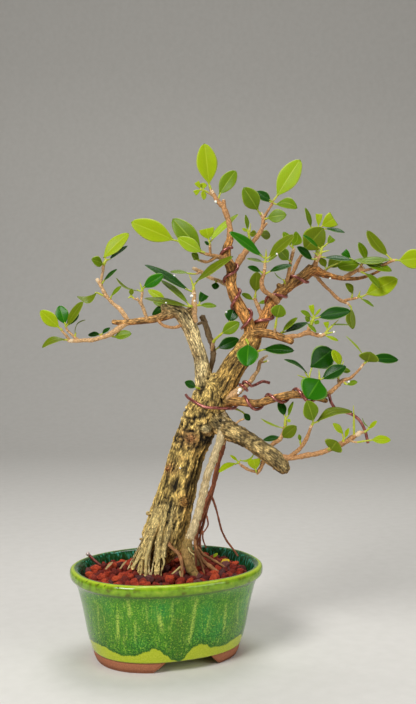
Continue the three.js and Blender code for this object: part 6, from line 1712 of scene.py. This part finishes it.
def sapSeat(skin, across, down):  # what the eye meets there, or else nearby
    eye = Vector(toPart([sight["eye"]])[0])
    for step in range(sapShape["tries"]):  # a widening search
        away = sapShape["reach"] * (step / sapShape["tries"]) ** sapShape["spread"]
        angle = step * sapShape["turn"]
        aim = Vector(toPart([spot([across + away * math.cos(angle), down + away * math.sin(angle), 0])])[0])
        hit = skin.ray_cast(eye, (aim - eye).normalized(), 3)[0]
        if hit:
            return hit


def makeSapDrops():
    points, faces, size = [], [], 0
    for piece in [woodPiece, *sprayPieces]:
        points += [vertex.co[:] for vertex in piece.data.vertices]
        faces += [[i + size for i in face.vertices] for face in piece.data.polygons]
        size = len(points)
    skin = BVHTree.FromPolygons(points, faces)
    ball, ballFaces = icosphere(3)
    heap = newHeap()
    for count, (across, down, radius) in enumerate(sapDrops):
        seat = sapSeat(skin, across, down)
        if seat:
            centre = (np.array(seat) / mm - potMiddle) @ viewToPart
            out = 1 + sapShape["rough"] * softNoise(ball + count * 3, sapShape["lump"])
            shape = ball * out[:, None] * radius * [1, sapShape["flat"], 1]
            addTo(heap, (shape + centre, ballFaces, shape), "driedSap")
    makePiece("sap_drops", heap)


# Leaf bits dropped on the grit: [tone, across, down, tip across, tip down, height, tip height, width].
fallenBits = [["fallen", 221, 563, 229.5, 559.5, 98, 100, 7],
              ["lime", 213.5, 557.5, 217.5, 553, 98.5, 103, 5],
              ["straw", 105.5, 569.5, 113, 561.5, 98, 101, 3.4], ["straw", 120, 569, 127, 560, 98, 101, 2.4]]
fallenRoll = 55


def makeFallenBits():
    heap = newHeap()
    for tone, across, down, tipAcross, tipDown, height, tipHeight, width in fallenBits:
        base, tip = onLevel(across, down, height), onLevel(tipAcross, tipDown, tipHeight)
        addTo(heap, leafBlade(base, tip, width, fallenRoll, 0, False, across % 1), "waxyLeaf." + tone)
    makePiece("fallen_leaf_bits", heap)


makeSapDrops()
makeFallenBits()
print("sap drops and leaf bits are in")

# What stays from the solids gets its own finish.
keptNodes = {"soil": "pottingMix", "drain_mesh_left": "polyethyleneMesh",
             "drain_mesh_right": "polyethyleneMesh"}
for name, finish in keptNodes.items():
    setFinish(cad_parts[name], finish)

# The floor, the backdrop and the lights. Lengths are in metres from the pot, and power is in watts.
studio = {"world": "#ffffff", "worldLight": 0.14, "card": ["#d3d0c9", "#dedbd5"], "cardGrain": 60,
          "sideways": 5, "nearEdge": -4, "bendFrom": 1.6, "bend": 1, "top": 4, "gap": 0.0002}
softBoxes = {
    "key": {"place": [-0.9, -1.3, 1.5], "aim": [0, 0, 0.25], "size": 0.7, "power": 34},
    "fill": {"place": [1.5, -1.1, 0.9], "aim": [0, 0, 0.25], "size": 1.1, "power": 12},
    "top": {"place": [0.1, 0.5, 1.9], "aim": [0, 0, 0.3], "size": 0.9, "power": 15},
}


def makeStage():  # one sheet of card, laid flat and bent up behind the pot
    turns = np.linspace(0, math.pi / 2, 16)[1:]
    bend, start = studio["bend"], studio["bendFrom"]
    depth = [studio["nearEdge"], start, *(start + bend * np.sin(turns)), start + bend]
    height = [0, 0, *(bend - bend * np.cos(turns)), studio["top"]]
    points = [viewToPart @ [x, y, z - studio["gap"]] for y, z in zip(depth, height)
              for x in (-studio["sideways"], studio["sideways"])]
    faces = [[2 * i, 2 * i + 1, 2 * i + 3, 2 * i + 2] for i in range(len(depth) - 1)]
    floor = newObject("studio_floor", points, faces)
    floor.data.shade_smooth()
    add = newMaterial("matteCard")
    where = add("TexCoord").outputs["Object"]
    fleck = add("TexNoise", {"Scale": studio["cardGrain"], "Detail": 4}, {"Vector": where})
    colour = add("Mix", {"data_type": "RGBA", 6: studio["card"][0], 7: studio["card"][1]}, {0: fleck})
    finishWith(add, {"Roughness": 0.8}, {"Base Color": colour})
    setFinish(floor, "matteCard")


def makeLights():
    for name, box in softBoxes.items():
        light = bpy.data.lights.new(name, "AREA")
        light.shape = "SQUARE"
        light.size = box["size"]
        light.energy = box["power"]
        lamp = bpy.data.objects.new(name, light)
        place, aim = [Vector(viewToPart @ box[end]) for end in ("place", "aim")]
        lamp.location = place
        lamp.rotation_euler = (aim - place).to_track_quat("-Z", "Y").to_euler()
        bpy.context.collection.objects.link(lamp)
    world = bpy.data.worlds.new("studio")
    world.use_nodes = True
    background = world.node_tree.nodes["Background"]
    background.inputs["Color"].default_value = linear(studio["world"])
    background.inputs["Strength"].default_value = studio["worldLight"]
    bpy.context.scene.world = world


makeStage()
makeLights()
print("stage and lights are in")
